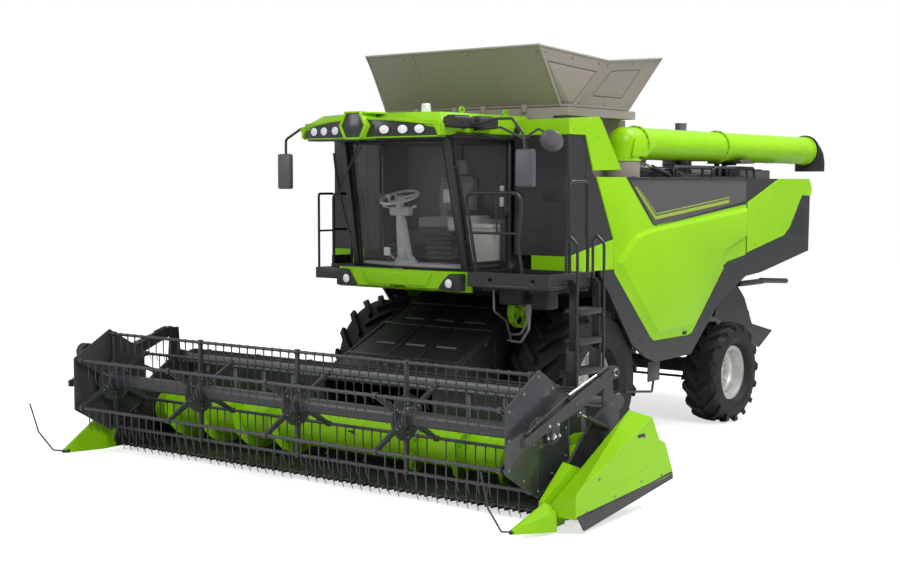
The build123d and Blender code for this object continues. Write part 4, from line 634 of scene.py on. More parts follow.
def makeCabInside():
    bm = bmesh.new()
    block(bm, (-0.24, -2.06, 2.38), (0.24, -1.60, 2.47), 0.02)
    block(bm, (-0.23, -1.60, 2.50), (0.23, -1.562, 3.00), 0.015)
    for x in (-0.06, 0.06):
        bar(bm, (x, -1.60, 2.98), (x, -1.60, 3.06), 0.008)
    for i in range(6):  # bellows of the seat suspension
        block(bm, (-0.17 - 0.012 * (i % 2), -2.0, 2.06 + i * 0.054),
                (0.17 + 0.012 * (i % 2), -1.64, 2.10 + i * 0.054), 0.012)
    for i in range(5):  # belt loops, boards and the folded steps beside the seat
        block(bm, (-0.66, -2.15 + i * 0.02, 2.06 + i * 0.05), (-0.34, -1.72, 2.085 + i * 0.05), 0.006)
    block(bm, (-0.80, -1.72, 2.055), (0.80, -1.555, 2.42), 0.03)
    block(bm, (0.27, -2.20, 2.60), (0.40, -1.62, 2.66), 0.02)
    settle("cab_dark_fittings", bm, "chassis", mouldedBlack)
    bm = bmesh.new()
    wheelAt, tilt = Vector(cab["wheelAt"]), Vector((0, -0.34, 0.94))
    turned(bm, [(-0.014, 0.186), (-0.006, 0.182), (0.008, 0.186), (0.012, 0.2), (0.008, 0.214), (-0.006, 0.218),
                (-0.014, 0.214)], wheelAt, tilt, 56)
    for turn in range(3):
        spoke = Matrix.Rotation(turn * math.tau / 3 + 0.5, 3, tilt) @ Vector((1, 0, 0))
        bar(bm, wheelAt - tilt * 0.015 + spoke * 0.03, wheelAt + spoke * 0.196, 0.017, 0.01, 10)
    bar(bm, wheelAt - tilt * 0.06, wheelAt + tilt * 0.012, 0.062, 0.05, 28, 0.008)
    bar(bm, wheelAt + spoke * 0.16, wheelAt + spoke * 0.16 + tilt * 0.06, 0.012)
    bar(bm, wheelAt + spoke * 0.16 + tilt * 0.05, wheelAt + spoke * 0.16 + tilt * 0.09, 0.024, 0.02, 16, 0.006)
    bar(bm, (0, -2.335, 2.10), (0, -2.405, 2.56), 0.085, 0.055, 24)
    bar(bm, (0, -2.405, 2.54), (0, -2.428, 2.75), 0.05, 0.042, 24)
    bar(bm, (0, -2.33, 2.055), (0, -2.345, 2.17), 0.16, 0.088, 28, 0.01)
    block(bm, (-0.13, -2.46, 2.60), (0.13, -2.35, 2.70), 0.03, 3)  # instrument pod
    for x in (-0.2, 0.2):
        bar(bm, (x * 0.4, -2.41, 2.66), (x, -2.43, 2.70), 0.009, sides=10)
        bar(bm, (x * 0.95, -2.43, 2.70), (x * 1.15, -2.435, 2.705), 0.017, 0.014, 12, 0.004)
    for x in (-0.1, 0.1):  # pedals
        bar(bm, (x, -2.40, 2.14), (x, -2.50, 2.22), 0.01, sides=10)
        block(bm, (x - 0.04, -2.53, 2.18), (x + 0.04, -2.505, 2.27), 0.008)
    bmesh.ops.translate(bm, vec=(-0.10, -0.10, 0.0), verts=bm.verts)
    ring = []  # cowl shelf under the windscreen follows its bow
    for i in range(15):
        x = -0.8 + 1.6 * i / 14
        ring.append((x, screenSpot(x, 2.08)[1] + 0.03))
    plate(bm, ring + [(0.8, -2.36), (0.3, -2.30), (-0.3, -2.26), (-0.8, -2.20)], "z", 2.055, 2.10, 0.012, 3)
    block(bm, (-0.79, -2.32, 2.052), (0.79, -1.60, 2.066), 0.003)
    block(bm, (0.25, -2.18, 2.44), (0.43, -1.60, 2.60), 0.035, 3)  # right-hand console and its stalk
    bar(bm, (0.34, -2.10, 2.64), (0.34, -2.15, 2.76), 0.02, 0.028, 16, 0.008)
    block(bm, (0.30, -2.30, 2.74), (0.48, -2.27, 2.88), 0.012, 3)
    bar(bm, (0.38, -2.27, 2.80), (0.40, -2.16, 2.64), 0.012)
    block(bm, (-0.42, -1.78, 2.42), (0.80, -1.56, 2.56), 0.04, 3)
    # these fittings carry the cab trim, lightened as painted light for the dim cab
    settle("cab_fittings_painted_light", bm, "chassis", cabTrimPaintedLight)
    bm = bmesh.new()  # tool bin behind the door, with a crumpled rim
    block(bm, (0.42, -2.07, 2.06), (0.77, -1.72, 2.52), 0.0)
    top = [f for f in bm.faces if f.normal.z > 0.9]
    bmesh.ops.inset_individual(bm, faces=top, thickness=0.014)
    sunk = bmesh.ops.extrude_face_region(bm,
            geom=[f for f in bm.faces if f.normal.z > 0.9 and f.calc_area() > 0.05])["geom"]
    bmesh.ops.translate(bm, vec=(0, 0, -0.34), verts=[g for g in sunk if isinstance(g, bmesh.types.BMVert)])
    bmesh.ops.delete(bm, geom=[f for f in bm.faces if f.normal.z > 0.9 and f.calc_area() > 0.05 and f.calc_center_median().z > 2.5], context="FACES_ONLY")
    for vert in bm.verts:
        vert.co.x += 0.03 * (vert.co.z - 2.06) * (1 if vert.co.x > 0.6 else -1) * 0.6
    soften(bm, bm.verts[:], 0.006, 2)
    block(bm, (0.405, -2.085, 2.47), (0.785, -1.705, 2.50), 0.008)
    bin_ = paint("binPale", (0.46, 0.44, 0.41), dustiness=0.3, edge=0.05, gloss=0.5, peel=0.2, coat=0.0)
    settle("cab_bin", bm, "chassis", bin_)
    bm = bmesh.new()  # lining of the rear wall and the roof
    for x0, x1 in ((-0.78, -0.02), (0.02, 0.78)):
        block(bm, (x0, -1.575, 2.45), (x1, -1.545, 3.36), 0.03, 3)
    block(bm, (-0.78, -2.75, 3.395), (0.78, -1.60, 3.425), 0.02)
    settle("cab_lining", bm, "chassis", paint("liningGrey", (0.085, 0.085, 0.088), dustiness=0.0, gloss=0.7, peel=0.5,
                                               coat=0.0))


makeCabInside()
column = bmesh.new()  # thin post of the right-hand display stands for the plain block model's fittings
bar(column, (-0.52, -2.30, 2.10), (-0.50, -2.34, 2.74), 0.014)
block(column, (-0.60, -2.37, 2.70), (-0.42, -2.34, 2.84), 0.01, 3)
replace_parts(settle("cab_display", column, "chassis", mouldedBlack), "cab_interior")


def makeCabShell():
    # pillars, sills and rails of the cab; the right pillar stands back with the wrapped screen
    bm = bmesh.new()
    plate(bm, [(-2.57, 2.05), (-2.632, 2.05), (-2.962, 3.42), (-2.90, 3.42)], "x", 0.81, 0.88, 0.008)
    plate(bm, [(-2.29, 2.05), (-2.385, 2.05), (-2.61, 3.42), (-2.47, 3.42)], "x", -0.88, -0.81, 0.008)
    for low, high in (((0.81, -1.917, 2.05), (0.88, -1.50, 3.42)), ((-0.88, -1.97, 2.05), (-0.81, -1.50, 3.42)),
                      ((0.81, -2.60, 2.05), (0.88, -1.90, 2.091)), ((-0.88, -2.36, 2.05), (-0.81, -1.90, 2.10)),
                      ((0.81, -2.93, 3.398), (0.88, -1.50, 3.42)), ((-0.88, -2.58, 3.39), (-0.81, -1.50, 3.42)),
                      ((-0.87, -1.54, 2.05), (0.87, -1.50, 3.42))):
        block(bm, low, high, 0.005)
    for x in (-0.84, 0.84):  # drip channels and gasket lips beside the posts
        way = 1 if x > 0 else -1
        block(bm, (way * 0.876, -1.90, 2.10), (way * 0.884, -1.88, 3.36), 0.002)
    up = Vector((0, -cab["lean"], 1)).normalized()
    for k in (0.300, 1.080):
        spot = Vector((0.897, -2.57, 2.05)) + up * k
        bar(bm, spot, spot + up * 0.024, 0.015, sides=24)
        bar(bm, spot, spot + up * 0.074, 0.008, sides=20)
        block(bm, (0.862, -2.60 - cab["lean"] * k, 2.05 + k * 0.97),
                (0.892, -2.572 - cab["lean"] * k, 2.074 + k * 0.97), 0.004)
    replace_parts(settle("cab_posts", bm, "chassis", frameDark), "cab_frame")
    bm = bmesh.new()
    bmesh.ops.create_grid(bm, x_segments=28, y_segments=8, size=0.5)
    for vert in bm.verts:
        vert.co = Vector(screenSpot(vert.co.x * 1.61, 2.72 + vert.co.y * 1.32))
    bmesh.ops.recalc_face_normals(bm, faces=bm.faces)
    bmesh.ops.solidify(bm, geom=bm.faces[:], thickness=0.006)
    plate(bm, [(-2.355, 2.10), (-2.565, 3.385), (-1.972, 3.385), (-1.972, 2.10)], "x", -0.848, -0.842, 0.001, 1)
    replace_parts(settle("cab_panes", bm, "chassis", paneGlass), "cab_glass")
    bm = bmesh.new()
    for a, b in (((-2.345, 2.11), (-2.558, 3.375)), ((-2.558, 3.375), (-1.98, 3.375)),
            ((-1.98, 3.375), (-1.98, 2.11)), ((-1.98, 2.11), (-2.345, 2.11))):
        bar(bm, (-0.846, *a), (-0.846, *b), 0.009, sides=8)
    settle("right_gasket", bm, "chassis", rubberPart)


def makeCabOutside():
    bm = bmesh.new()  # rubber round the windscreen and the panes
    edge = {"low": 2.065, "high": 3.37, "half": 0.80}
    for x in (-edge["half"], edge["half"]):
        tubeRun(bm, [screenSpot(x, edge["low"] + (edge["high"] - edge["low"]) * i / 6, 0.004) for i in range(7)],
                0.011)
    for z in (edge["low"], edge["high"]):
        tubeRun(bm, [screenSpot(-edge["half"] + 2 * edge["half"] * i / 12, z, 0.004) for i in range(13)], 0.011)
    settle("screen_rubber", bm, "chassis", rubberPart)
    bm = bmesh.new()  # one wiper, parked beside the right pillar, on a pair of arms
    high, low = Vector((-0.656, -2.95, 3.261)), Vector((-0.595, -2.75, 2.361))
    hub, pivot = Vector((-0.707, -2.85, 2.808)), Vector((-0.30, -2.94, 3.365))
    for share in (0.0, 0.2, 0.4, 0.6, 0.8):
        a, b = high.lerp(low, share), high.lerp(low, share + 0.2)
        bow = [Vector((-0.10 * t * (1 - t) * 1.4, 0, 0)) for t in (share, share + 0.2)]
        bar(bm, a + bow[0], b + bow[1], 0.010, sides=8)
        bar(bm, a + bow[0] + Vector((0.004, 0.016, 0)), b + bow[1] + Vector((0.004, 0.016, 0)), 0.006, sides=6)
    bar(bm, pivot, hub, 0.009, 0.007, 10)
    bar(bm, pivot + Vector((0.05, 0, -0.01)), hub + Vector((0.03, 0, 0.09)), 0.006, sides=8)
    bar(bm, hub + Vector((0.03, 0, 0.09)), hub, 0.007, sides=8)
    bar(bm, pivot + Vector((0, 0.10, 0.03)), pivot, 0.024, 0.018, 16, 0.004)
    bar(bm, hub + Vector((-0.03, 0, 0)), hub + Vector((0.04, 0.01, 0)), 0.014, sides=12)
    settle("wipers", bm, "chassis", mouldedBlack)
    makeCabShell()
    bm = bmesh.new()  # door latch, striker, grip and the pane clips
    block(bm, (0.858, -2.005, 2.60), (0.905, -1.955, 2.84), 0.01, 3)
    block(bm, (0.90, -1.995, 2.63), (0.925, -1.965, 2.70), 0.006)
    tubeRun(bm, cornered([(0.86, -2.05, 2.42), (0.83, -2.05, 2.42), (0.83, -2.11, 3.0), (0.86, -2.11, 3.0)], 0.03),
            0.011)
    settle("door_latch", bm, "door", mouldedBlack)
    bm = bmesh.new()
    block(bm, (0.85, -2.045, 2.70), (0.884, -2.0, 2.80), 0.005)
    block(bm, (0.85, -2.04, 2.86), (0.884, -2.0, 2.92), 0.005)
    for z in (2.74, 2.89):
        bolt(bm, (0.884, -2.02, z), (1, 0, 0), 0.006)
    settle("door_lock_plate", bm, "door", rimSilver)
    bm = bmesh.new()
    block(bm, (-0.87, -3.13, 3.385), (0.87, -2.93, 3.43), 0.015)
    for way in (1, -1):
        block(bm, (way * 0.86, -2.95, 3.395), (way * 0.95, -1.55, 3.425), 0.01)
        block(bm, (way * 0.945, -2.9, 3.43), (way * 0.962, -1.6, 3.445), 0.004)
    settle("roof_gutter", bm, "chassis", mouldedBlack)
    bm = bmesh.new()  # roof top: raised panel, hatch and seams
    plate(bm, [(-0.62, -2.2), (0.46, -2.2), (0.46, -1.66), (-0.62, -1.66)], "z", 3.652, 3.672, 0.008)
    plate(bm, [(-0.55, -2.85), (0.1, -2.85), (0.1, -2.35), (-0.55, -2.35)], "z", 3.652, 3.664, 0.006)
    boltLine(bm, (-0.6, -2.17, 3.672), (0.42, -2.17, 3.672), 6, (0, 0, 1), 0.007)
    boltLine(bm, (-0.6, -1.69, 3.672), (0.42, -1.69, 3.672), 6, (0, 0, 1), 0.007)
    settle("roof_lid", bm, "chassis", limePaint)


makeCabOutside()


def makeLamps():
    glow, nodes, links, shader = newMaterial("lampFace")
    place = nodes.new("ShaderNodeTexCoord").outputs["Object"]
    flutes = nodes.new("ShaderNodeTexWave")
    flutes.inputs["Scale"].default_value = 60.0
    links.new(place, flutes.inputs["Vector"])
    links.new(mixColour(nodes, links, flutes.outputs["Fac"], (0.80, 0.82, 0.86, 1.0), (0.95, 0.96, 0.98, 1.0)),
            shader.inputs["Base Color"])
    bump = nodes.new("ShaderNodeBump")
    bump.inputs["Strength"].default_value = 0.3
    bump.inputs["Distance"].default_value = 0.002
    links.new(flutes.outputs["Fac"], bump.inputs["Height"])
    links.new(bump.outputs[0], shader.inputs["Normal"])
    shader.inputs["Roughness"].default_value = 0.12
    shader.inputs["Coat Weight"].default_value = 0.8
    lens, shell, dark, lime, front_ = (bmesh.new() for _ in range(5))
    def bowed(x):
        return -3.355 + 0.235 * abs(x)
    def browPlate(target, corners, near, far, soft):
        # flat plate slanted in plan along the bow of the brow
        piece = bmesh.new()
        plate(piece, corners, "y", near, far, soft)
        for vert in piece.verts:
            vert.co.y += bowed(vert.co.x)
        pour(piece, target)
    for way in (1, -1):
        browPlate(front_, [(way * 0.135, 3.400), (way * 0.135, 3.583), (way * 0.42, 3.568), (way * 0.86, 3.520),
                (way * 0.89, 3.412)], 0.0, 0.16, 0.008)
        browPlate(lime, [(way * 0.12, 3.578), (way * 0.42, 3.564), (way * 0.90, 3.512), (way * 0.93, 3.528),
                (way * 0.42, 3.590), (way * 0.12, 3.602)], -0.014, 0.26, 0.006)
        browPlate(lime, [(way * 0.865, 3.525), (way * 0.925, 3.525), (way * 0.935, 3.418), (way * 0.905, 3.412)],
                -0.012, 0.10, 0.006)
        browPlate(lime, [(way * 0.10, 3.394), (way * 0.90, 3.402), (way * 0.90, 3.414), (way * 0.10, 3.406)], -0.010,
                0.14, 0.004)
        for x in (0.33, 0.53, 0.71):
            spot = (way * x, bowed(x) - 0.002, 3.480)
            facing = (way * 0.235, -1, 0)
            before = set(shell.verts), set(lens.verts)
            turned(shell, [(-0.012, 0.040), (0.004, 0.044), (0.005, 0.050), (-0.004, 0.053), (-0.014, 0.052)], spot,
                    facing, 40)
            turned(lens, [(-0.006, 0.0001), (0.006, 0.0002), (0.005, 0.028), (0.002, 0.042), (-0.006, 0.044)], spot,
                    facing, 40)
            for mesh_, old in ((shell, before[0]), (lens, before[1])):
                for vert in mesh_.verts:
                    if vert not in old:
                        vert.co.x = spot[0] + (vert.co.x - spot[0]) * 1.32
        x, z = way * 0.70, 1.925
        turned(shell, [(-0.01, 0.046), (0.010, 0.050), (0.010, 0.060), (-0.01, 0.064)], (x, -2.712, z), (0, -1, 0),
                40)
        turned(lens, [(-0.008, 0.0001), (0.012, 0.0002), (0.010, 0.028), (0.003, 0.046), (-0.008, 0.048)],
                (x, -2.712, z), (0, -1, 0), 40)
        plate(dark, [(way * a, b) for a, b in ((0.845, 2.025), (0.70, 2.020), (0.625, 1.955), (0.555, 1.868),
                (0.60, 1.850), (0.845, 1.848))],
              "y", -2.714, -2.60, 0.012, 3)
    # six-sided middle panel: lime rim standing proud, dark field inside
    hexa = [(-0.110, 3.385), (0.110, 3.385), (0.180, 3.520), (0.100, 3.664), (-0.100, 3.664), (-0.180, 3.520)]
    inner = [(a * 0.84, 3.522 + (b - 3.522) * 0.86) for a, b in hexa]
    for k in range(6):
        m = (k + 1) % 6
        plate(lime, [hexa[k], hexa[m], inner[m], inner[k]], "y", -3.392, -3.15, 0.006)
    plate(front_, inner, "y", -3.378, -3.17, 0.006)
    plate(lime, [(-0.14, -3.36), (0.14, -3.36), (0.20, -3.05), (-0.20, -3.05)], "z", 3.640, 3.660, 0.006)
    plate(lime, [(-0.90, -3.13), (-0.18, -3.30), (-0.16, -3.02), (-0.80, -2.95)], "z", 3.50, 3.57, 0.008)
    plate(lime, [(0.90, -3.13), (0.18, -3.30), (0.16, -3.02), (0.80, -2.95)], "z", 3.50, 3.57, 0.008)
    for y in (-2.93, -2.53):  # work lamps over the door face outwards in dark cases
        block(dark, (0.93, y - 0.17, 3.49), (1.09, y + 0.15, 3.60), 0.02, 3)
        block(dark, (0.95, y - 0.13, 3.59), (1.05, y + 0.11, 3.615), 0.008)
        for i in range(5):
            block(dark, (1.085, y - 0.14 + i * 0.058, 3.50), (1.098, y - 0.13 + i * 0.058, 3.59), 0.002)
    for way in (1, -1):
        block(dark, (way * 1.44, 3.850, 2.09), (way * 1.56, 3.900, 2.20), 0.01)
    bar(dark, (0.955, -1.9, 3.50), (1.01, -1.9, 3.50), 0.03, 0.045, 20, 0.004)
    plate(lime, [(-0.47, 2.020), (0.47, 2.020), (0.40, 1.880), (-0.40, 1.880)], "y", -2.706, -2.66, 0.010, 3)
    settle("lamp_rings", shell, "chassis", mouldedBlack)
    settle("lamp_housings", dark, "chassis", mouldedBlack)
    settle("brow_rim", lime, "chassis", limePaint)
    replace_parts(settle("brow_front", front_, "chassis", roofPanel), "lamp_panels")
    bm = bmesh.new()  # beacon: foot, ribbed dome
    spot = (0.14, -2.38, 3.655)
    turned(bm, [(0.0, 0.0001), (0.0, 0.068), (0.012, 0.07), (0.022, 0.06), (0.026, 0.0001)], spot, (0, 0, 1), 36)
    settle("beacon_foot", bm, "chassis", mouldedBlack)
    turned(lens, [(0.02, 0.0001), (0.02, 0.056), (0.06, 0.054), (0.115, 0.048), (0.127, 0.040), (0.131, 0.0002)],
            spot, (0, 0, 1), 40)
    for k in range(3):
        turned(lens, [(0.045 + 0.025 * k, 0.050), (0.047 + 0.025 * k, 0.056), (0.049 + 0.025 * k, 0.050)], spot,
                (0, 0, 1), 40)
    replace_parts(settle("lamp_lenses", lens, "chassis", glow), "lamps")


makeLamps()


def makeMirrors():
    tubes, backs, faces = bmesh.new(), bmesh.new(), bmesh.new()
    tubeRun(tubes, cornered([(0.94, -2.80, 3.49), (1.50, -2.98, 3.565), (1.70, -3.0, 3.56), (1.86, -3.05, 3.42),
            (1.90, -3.07, 3.22)], 0.05), 0.014)
    tubeRun(tubes, cornered([(0.94, -2.60, 3.48), (1.55, -2.98, 3.48), (1.88, -3.06, 3.36)], 0.05), 0.012)
    tubeRun(tubes, cornered([(1.87, -3.05, 3.36), (2.00, -3.0, 3.455), (2.09, -2.98, 3.41)], 0.04), 0.011)
    tubeRun(tubes, cornered([(-0.94, -2.50, 3.48), (-1.60, -2.45, 3.56), (-1.88, -2.42, 3.44), (-1.88, -2.42, 3.0)],
            0.07), 0.015)
    tubeRun(tubes, cornered([(-0.94, -2.75, 3.48), (-1.60, -2.45, 3.56)], 0.07), 0.012)
    for x, y, z, wide, tall in ((1.905, -3.07, 3.085, 0.108, 0.178), (-1.89, -2.42, 3.08, 0.105, 0.20)):
        block(backs, (x - wide, y - 0.03, z - tall), (x + wide, y + 0.024, z + tall), 0.034, 5)
        block(faces, (x - wide + 0.012, y + 0.022, z - tall + 0.012),
                (x + wide - 0.012, y + 0.028, z + tall - 0.012), 0.002)
    ball = (2.12, -2.95, 3.345)  # round wide-angle mirror beside the tall one
    turned(backs, [(0.0, 0.0001), (0.0, 0.115), (-0.02, 0.112), (-0.06, 0.07), (-0.075, 0.0001)], ball,
            (-0.25, 1, 0.55), 40)
    turned(faces, [(0.001, 0.0001), (0.016, 0.0002), (0.012, 0.05), (0.001, 0.108)], ball, (-0.25, 1, 0.55), 40)
    mirrorFace, nodes, links, shader = newMaterial("mirrorFace")
    film = noiseNode(nodes, links, nodes.new("ShaderNodeTexCoord").outputs["Object"], 8.0)
    links.new(mathNode(nodes, links, "MULTIPLY_ADD", film, 0.1, 0.02), shader.inputs["Roughness"])
    links.new(mixColour(nodes, links, film, (0.62, 0.66, 0.70, 1.0), (0.72, 0.75, 0.78, 1.0)),
            shader.inputs["Base Color"])
    shader.inputs["Metallic"].default_value = 1.0
    mirrorShell = paint("mirrorShell", (0.085, 0.088, 0.096), dustiness=0.05, gloss=0.35, peel=0.1, coat=0.1)
    settle("mirror_faces", faces, "chassis", mirrorFace)
    settle("mirror_tubes", tubes, "chassis", frameDark)
    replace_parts(settle("mirror_backs", backs, "chassis", mirrorShell), "mirrors")


makeMirrors()
print("stage: cab")

# body sides
side = {"x": 1.62, "skin": 0.024, "bulge": 0.034}
sideOutline = [(-1.364, 3.010), (-0.760, 3.010), (-0.200, 2.500), (-0.120, 2.480), (2.080, 2.704), (2.080, 2.060),
        (1.585, 1.994),
               (0.730, 1.198), (0.640, 1.180), (-0.150, 1.180), (-0.230, 1.230), (-1.010, 1.990), (-1.010,
                       2.200), (-1.016, 2.339)]
bulgeOutline = [(-0.900, 2.080), (-0.560, 2.340), (-0.30, 2.40), (2.045, 2.600), (2.045, 2.300), (1.500, 2.150),
        (0.650, 1.300),
                (-0.100, 1.290)]


def makeSidePanel(way):
    # pressed skin: outer sheet, then a bulged field joined to it by a sloping band
    bm = bmesh.new()
    x0, x1, x2 = side["x"] - side["skin"], side["x"], side["x"] + side["bulge"]
    rim = [bm.verts.new((x1, y, z)) for y, z in sideOutline]
    field = [bm.verts.new((x2, y, z)) for y, z in bulgeOutline]
    inner = [bm.verts.new((x1, y + (0.62 - y) * -0.045, z + (1.95 - z) * -0.075)) for y, z in bulgeOutline]
    loops = [[bm.edges.new((a, b)) for a, b in zip(ring, ring[1:] + ring[:1])] for ring in (rim, inner, field)]
    bm.faces.new(field)
    bmesh.ops.bridge_loops(bm, edges=loops[0] + loops[1])
    bmesh.ops.bridge_loops(bm, edges=loops[1] + loops[2])
    bmesh.ops.recalc_face_normals(bm, faces=bm.faces)
    if sum(f.normal.x * f.calc_area() for f in bm.faces) < 0:
        bmesh.ops.reverse_faces(bm, faces=bm.faces)
    back = bmesh.ops.extrude_edge_only(bm, edges=loops[0])["geom"]
    bmesh.ops.translate(bm, vec=(x0 - x1, 0, 0), verts=[g for g in back if isinstance(g, bmesh.types.BMVert)])
    bmesh.ops.holes_fill(bm, edges=[e for e in bm.edges if e.is_boundary])
    creases = [e for e in bm.edges if len(e.link_faces) == 2 and e.calc_face_angle(0.0) > math.radians(4)]
    bmesh.ops.bevel(bm, geom=creases, offset=0.007, segments=3, profile=0.5, affect="EDGES", material=-1)
    if way < 0:
        bmesh.ops.scale(bm, vec=(-1, 1, 1), verts=bm.verts)
        bmesh.ops.reverse_faces(bm, faces=bm.faces)
    name = "left" if way > 0 else "right"
    piece = settle("panel_skin_" + name, bm, "side_panel_" + name, limePaint, 24.0)
    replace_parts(piece, "side_panel_" + name)
    bm = bmesh.new()  # two thin lines along the insert's lower edge, one wide and one narrow
    def stripe(low, high):
        front, corner_ = (-0.757, 3.010), (-0.165, 2.492)
        def shifted(d):
            return [(front[0] + d * 0.9 + 0.12, front[1] - 0.105),
                    (corner_[0] + d * 0.42, corner_[1] + d * 0.97 + 0.004), (1.62, 2.664 + d)]
        a, b = shifted(low), shifted(high)
        for way2 in ((0, 1), (1, 2)):
            i, j = way2
            plate(bm, [a[i], a[j], b[j], b[i]], "x", way * (side["x"] - 0.001), way * (side["x"] + 0.0022), 0.0008, 1)
    stripe(0.045, 0.085)
    stripe(0.105, 0.118)
    settle("insert_lines_" + name, bm, "side_panel_" + name, limeLine)
    bm = bmesh.new()  # black strip painted as the shade in the gap round the insert, along the seams between the covers
    # outline of the painted shade strip under the insert's edge
    shadeStripLine = [(-0.775, 3.010), (-0.205, 2.492), (-0.12, 2.470), (2.080, 2.694)]
    for a, b in zip(shadeStripLine, shadeStripLine[1:]):
        plate(bm, [a, b, (b[0], b[1] + 0.040), (a[0] + 0.036, a[1] + 0.006)], "x", way * (side["x"] - 0.001),
                way * (side["x"] + 0.004), 0.001, 1)
    settle("insert_painted_shade_" + name, bm, "side_panel_" + name, mouldedBlack)
    bm = bmesh.new()  # latches, lower lip and the gas strut eyes
    for y in (-0.45, 0.55, 1.55):
        z = 1.215 if y < 0.6 else 1.95
        block(bm, (way * 1.598, y - 0.05, z - 0.02), (way * 1.628, y + 0.05, z + 0.02), 0.008)
    block(bm, (way * 1.602, -0.70, 2.985), (way * 1.634, 2.078, 3.012), 0.006)
    for y in (-0.60, 0.55, 1.80):
        block(bm, (way * 1.60, y - 0.04, 3.0), (way * 1.63, y + 0.04, 3.022), 0.006)
    settle("panel_latches_" + name, bm, "side_panel_" + name, mouldedBlack)


limeLine = paint("limeLine", (0.30, 0.42, 0.02), dustiness=0.1, edge=0.0, gloss=0.3, coat=0.3)
bothSides(makeSidePanel)


def makeBodyTrim(way):
    bolts, lines, dark = bmesh.new(), bmesh.new(), bmesh.new()
    x = way * 1.624
    boltLine(bolts, (x, -1.84, 2.06), (x, -1.10, 2.06), 5, (way, 0, 0), 0.008)
    for y, z in ((-1.80, 3.50), (-1.60, 3.52), (-1.35, 3.44), (-1.12, 3.20)):
        bolt(bolts, (x, y, z), (way, 0, 0), 0.008)
    for y, z in ((2.35, 2.60), (2.9, 2.86), (3.5, 2.90), (3.75, 2.86), (2.3, 2.2), (3.1, 2.36)):
        bolt(bolts, (way * 1.635, y, z), (way, 0, 0), 0.008)
    settle("cover_bolts_" + ("left" if way > 0 else "right"), bolts, "chassis", limePaint)
    skirtX = way * 1.626
    for a, b, n in (((-1.25, 2.0), (-0.66, 1.22), 4), ((-0.62, 1.14), (-0.13, 0.97), 3),
            ((0.0, 0.965), (0.6, 0.98), 3),
                    ((0.75, 1.04), (1.36, 1.53), 4), ((1.5, 1.62), (2.0, 1.82), 3)):
        boltLine(dark, (skirtX, *a), (skirtX, *b), n, (way, 0, 0), 0.008)
    rearX = way * 1.624
    for a, b, n in (((2.2, 1.86), (2.46, 1.90), 2), ((2.7, 1.95), (3.8, 2.12), 5), ((3.86, 2.2), (3.9, 2.7), 3)):
        boltLine(dark, (rearX, *a), (rearX, *b), n, (way, 0, 0), 0.008)
    block(lines, (way * 1.616, 2.081, 1.86), (way * 1.6245, 2.092, 3.008), 0.001, 1)
    # seams of a service hatch in the dark module
    mod = 1.611
    block(dark, (way * (mod - 0.001), -1.885, 2.36), (way * (mod + 0.004), -1.87, 3.42), 0.0015)
    block(dark, (way * (mod - 0.001), -1.56, 2.38), (way * (mod + 0.004), -1.548, 3.33), 0.0015)
    settle("skirt_bolts_" + ("left" if way > 0 else "right"), dark, "chassis", frameDark)
    # louvres let into the rear dark panel
    for i in range(9):
        z = 2.30 + i * 0.036
        y0 = 3.36 + i * 0.028
        plate(lines, [(y0, z), (3.84, z), (3.84, z + 0.012), (y0 + 0.01, z + 0.012)], "x", way * 1.622, way * 1.636,
                0.003)
    settle("rear_louvres_" + ("left" if way > 0 else "right"), lines, "chassis", mouldedBlack)


bothSides(makeBodyTrim)


def makeModuleFront(way):
    # front face of the side module: one service hatch with a thin dark outline and a push latch
    bm = bmesh.new()
    plate(bm, [(way * 1.300, 2.765), (way * 1.590, 2.765), (way * 1.590, 3.005), (way * 1.300, 3.005)], "y", -1.9065,
            -1.899, 0.004)
    edge = [(1.296, 2.761), (1.594, 2.761), (1.594, 3.009), (1.296, 3.009)]
    for a, b in zip(edge, edge[1:] + edge[:1]):
        bar(bm, (way * a[0], -1.902, a[1]), (way * b[0], -1.902, b[1]), 0.0035, sides=8)
    bar(bm, (way * 1.565, -1.905, 2.89), (way * 1.565, -1.911, 2.89), 0.012, sides=20, soft=0.002)
    block(bm, (way * 1.100, -1.9035, 2.24), (way * 1.106, -1.899, 3.40), 0.001, 1)
    block(bm, (way * 0.96, -1.9035, 2.470), (way * 1.60, -1.899, 2.475), 0.001, 1)
    settle("module_front_" + ("left" if way > 0 else "right"), bm, "chassis", frameDark)


bothSides(makeModuleFront)


def makeRear():
    bm = bmesh.new()  # rear face: frame round a slatted opening, lamps, plate-less bracket
    for z in (2.16, 2.30, 2.44, 2.58, 2.72):
        plate(bm, [(3.872, z), (3.895, z - 0.02), (3.895, z + 0.06), (3.868, z + 0.08)], "x", -1.10, 1.10, 0.004)
    for x in (-1.16, 0.0, 1.16):
        block(bm, (x - 0.035, 3.85, 2.08), (x + 0.035, 3.90, 2.86), 0.006)
    block(bm, (-1.20, 3.845, 2.86), (1.20, 3.905, 2.93), 0.01)
    block(bm, (-1.55, 3.80, 2.10), (-1.42, 3.90, 2.17), 0.01)
    settle("rear_grille", bm, "chassis", mouldedBlack)
    bm = bmesh.new()  # tail lamp bars
    red, nodes, links, shader = newMaterial("tailRed")
    ribs = nodes.new("ShaderNodeTexWave")
    ribs.inputs["Scale"].default_value = 40.0
    links.new(nodes.new("ShaderNodeTexCoord").outputs["Object"], ribs.inputs["Vector"])
    links.new(mixColour(nodes, links, ribs.outputs["Fac"], (0.35, 0.01, 0.01, 1.0), (0.6, 0.03, 0.02, 1.0)),
            shader.inputs["Base Color"])
    shader.inputs["Roughness"].default_value = 0.2
    shader.inputs["Coat Weight"].default_value = 0.6
    for way in (1, -1):
        block(bm, (way * 1.455, 3.898, 2.11), (way * 1.535, 3.908, 2.18), 0.004)
        block(bm, (way * 1.28, 3.85, 2.60), (way * 1.40, 3.885, 2.80), 0.015, 3)
    settle("tail_lamps", bm, "chassis", red)


makeRear()


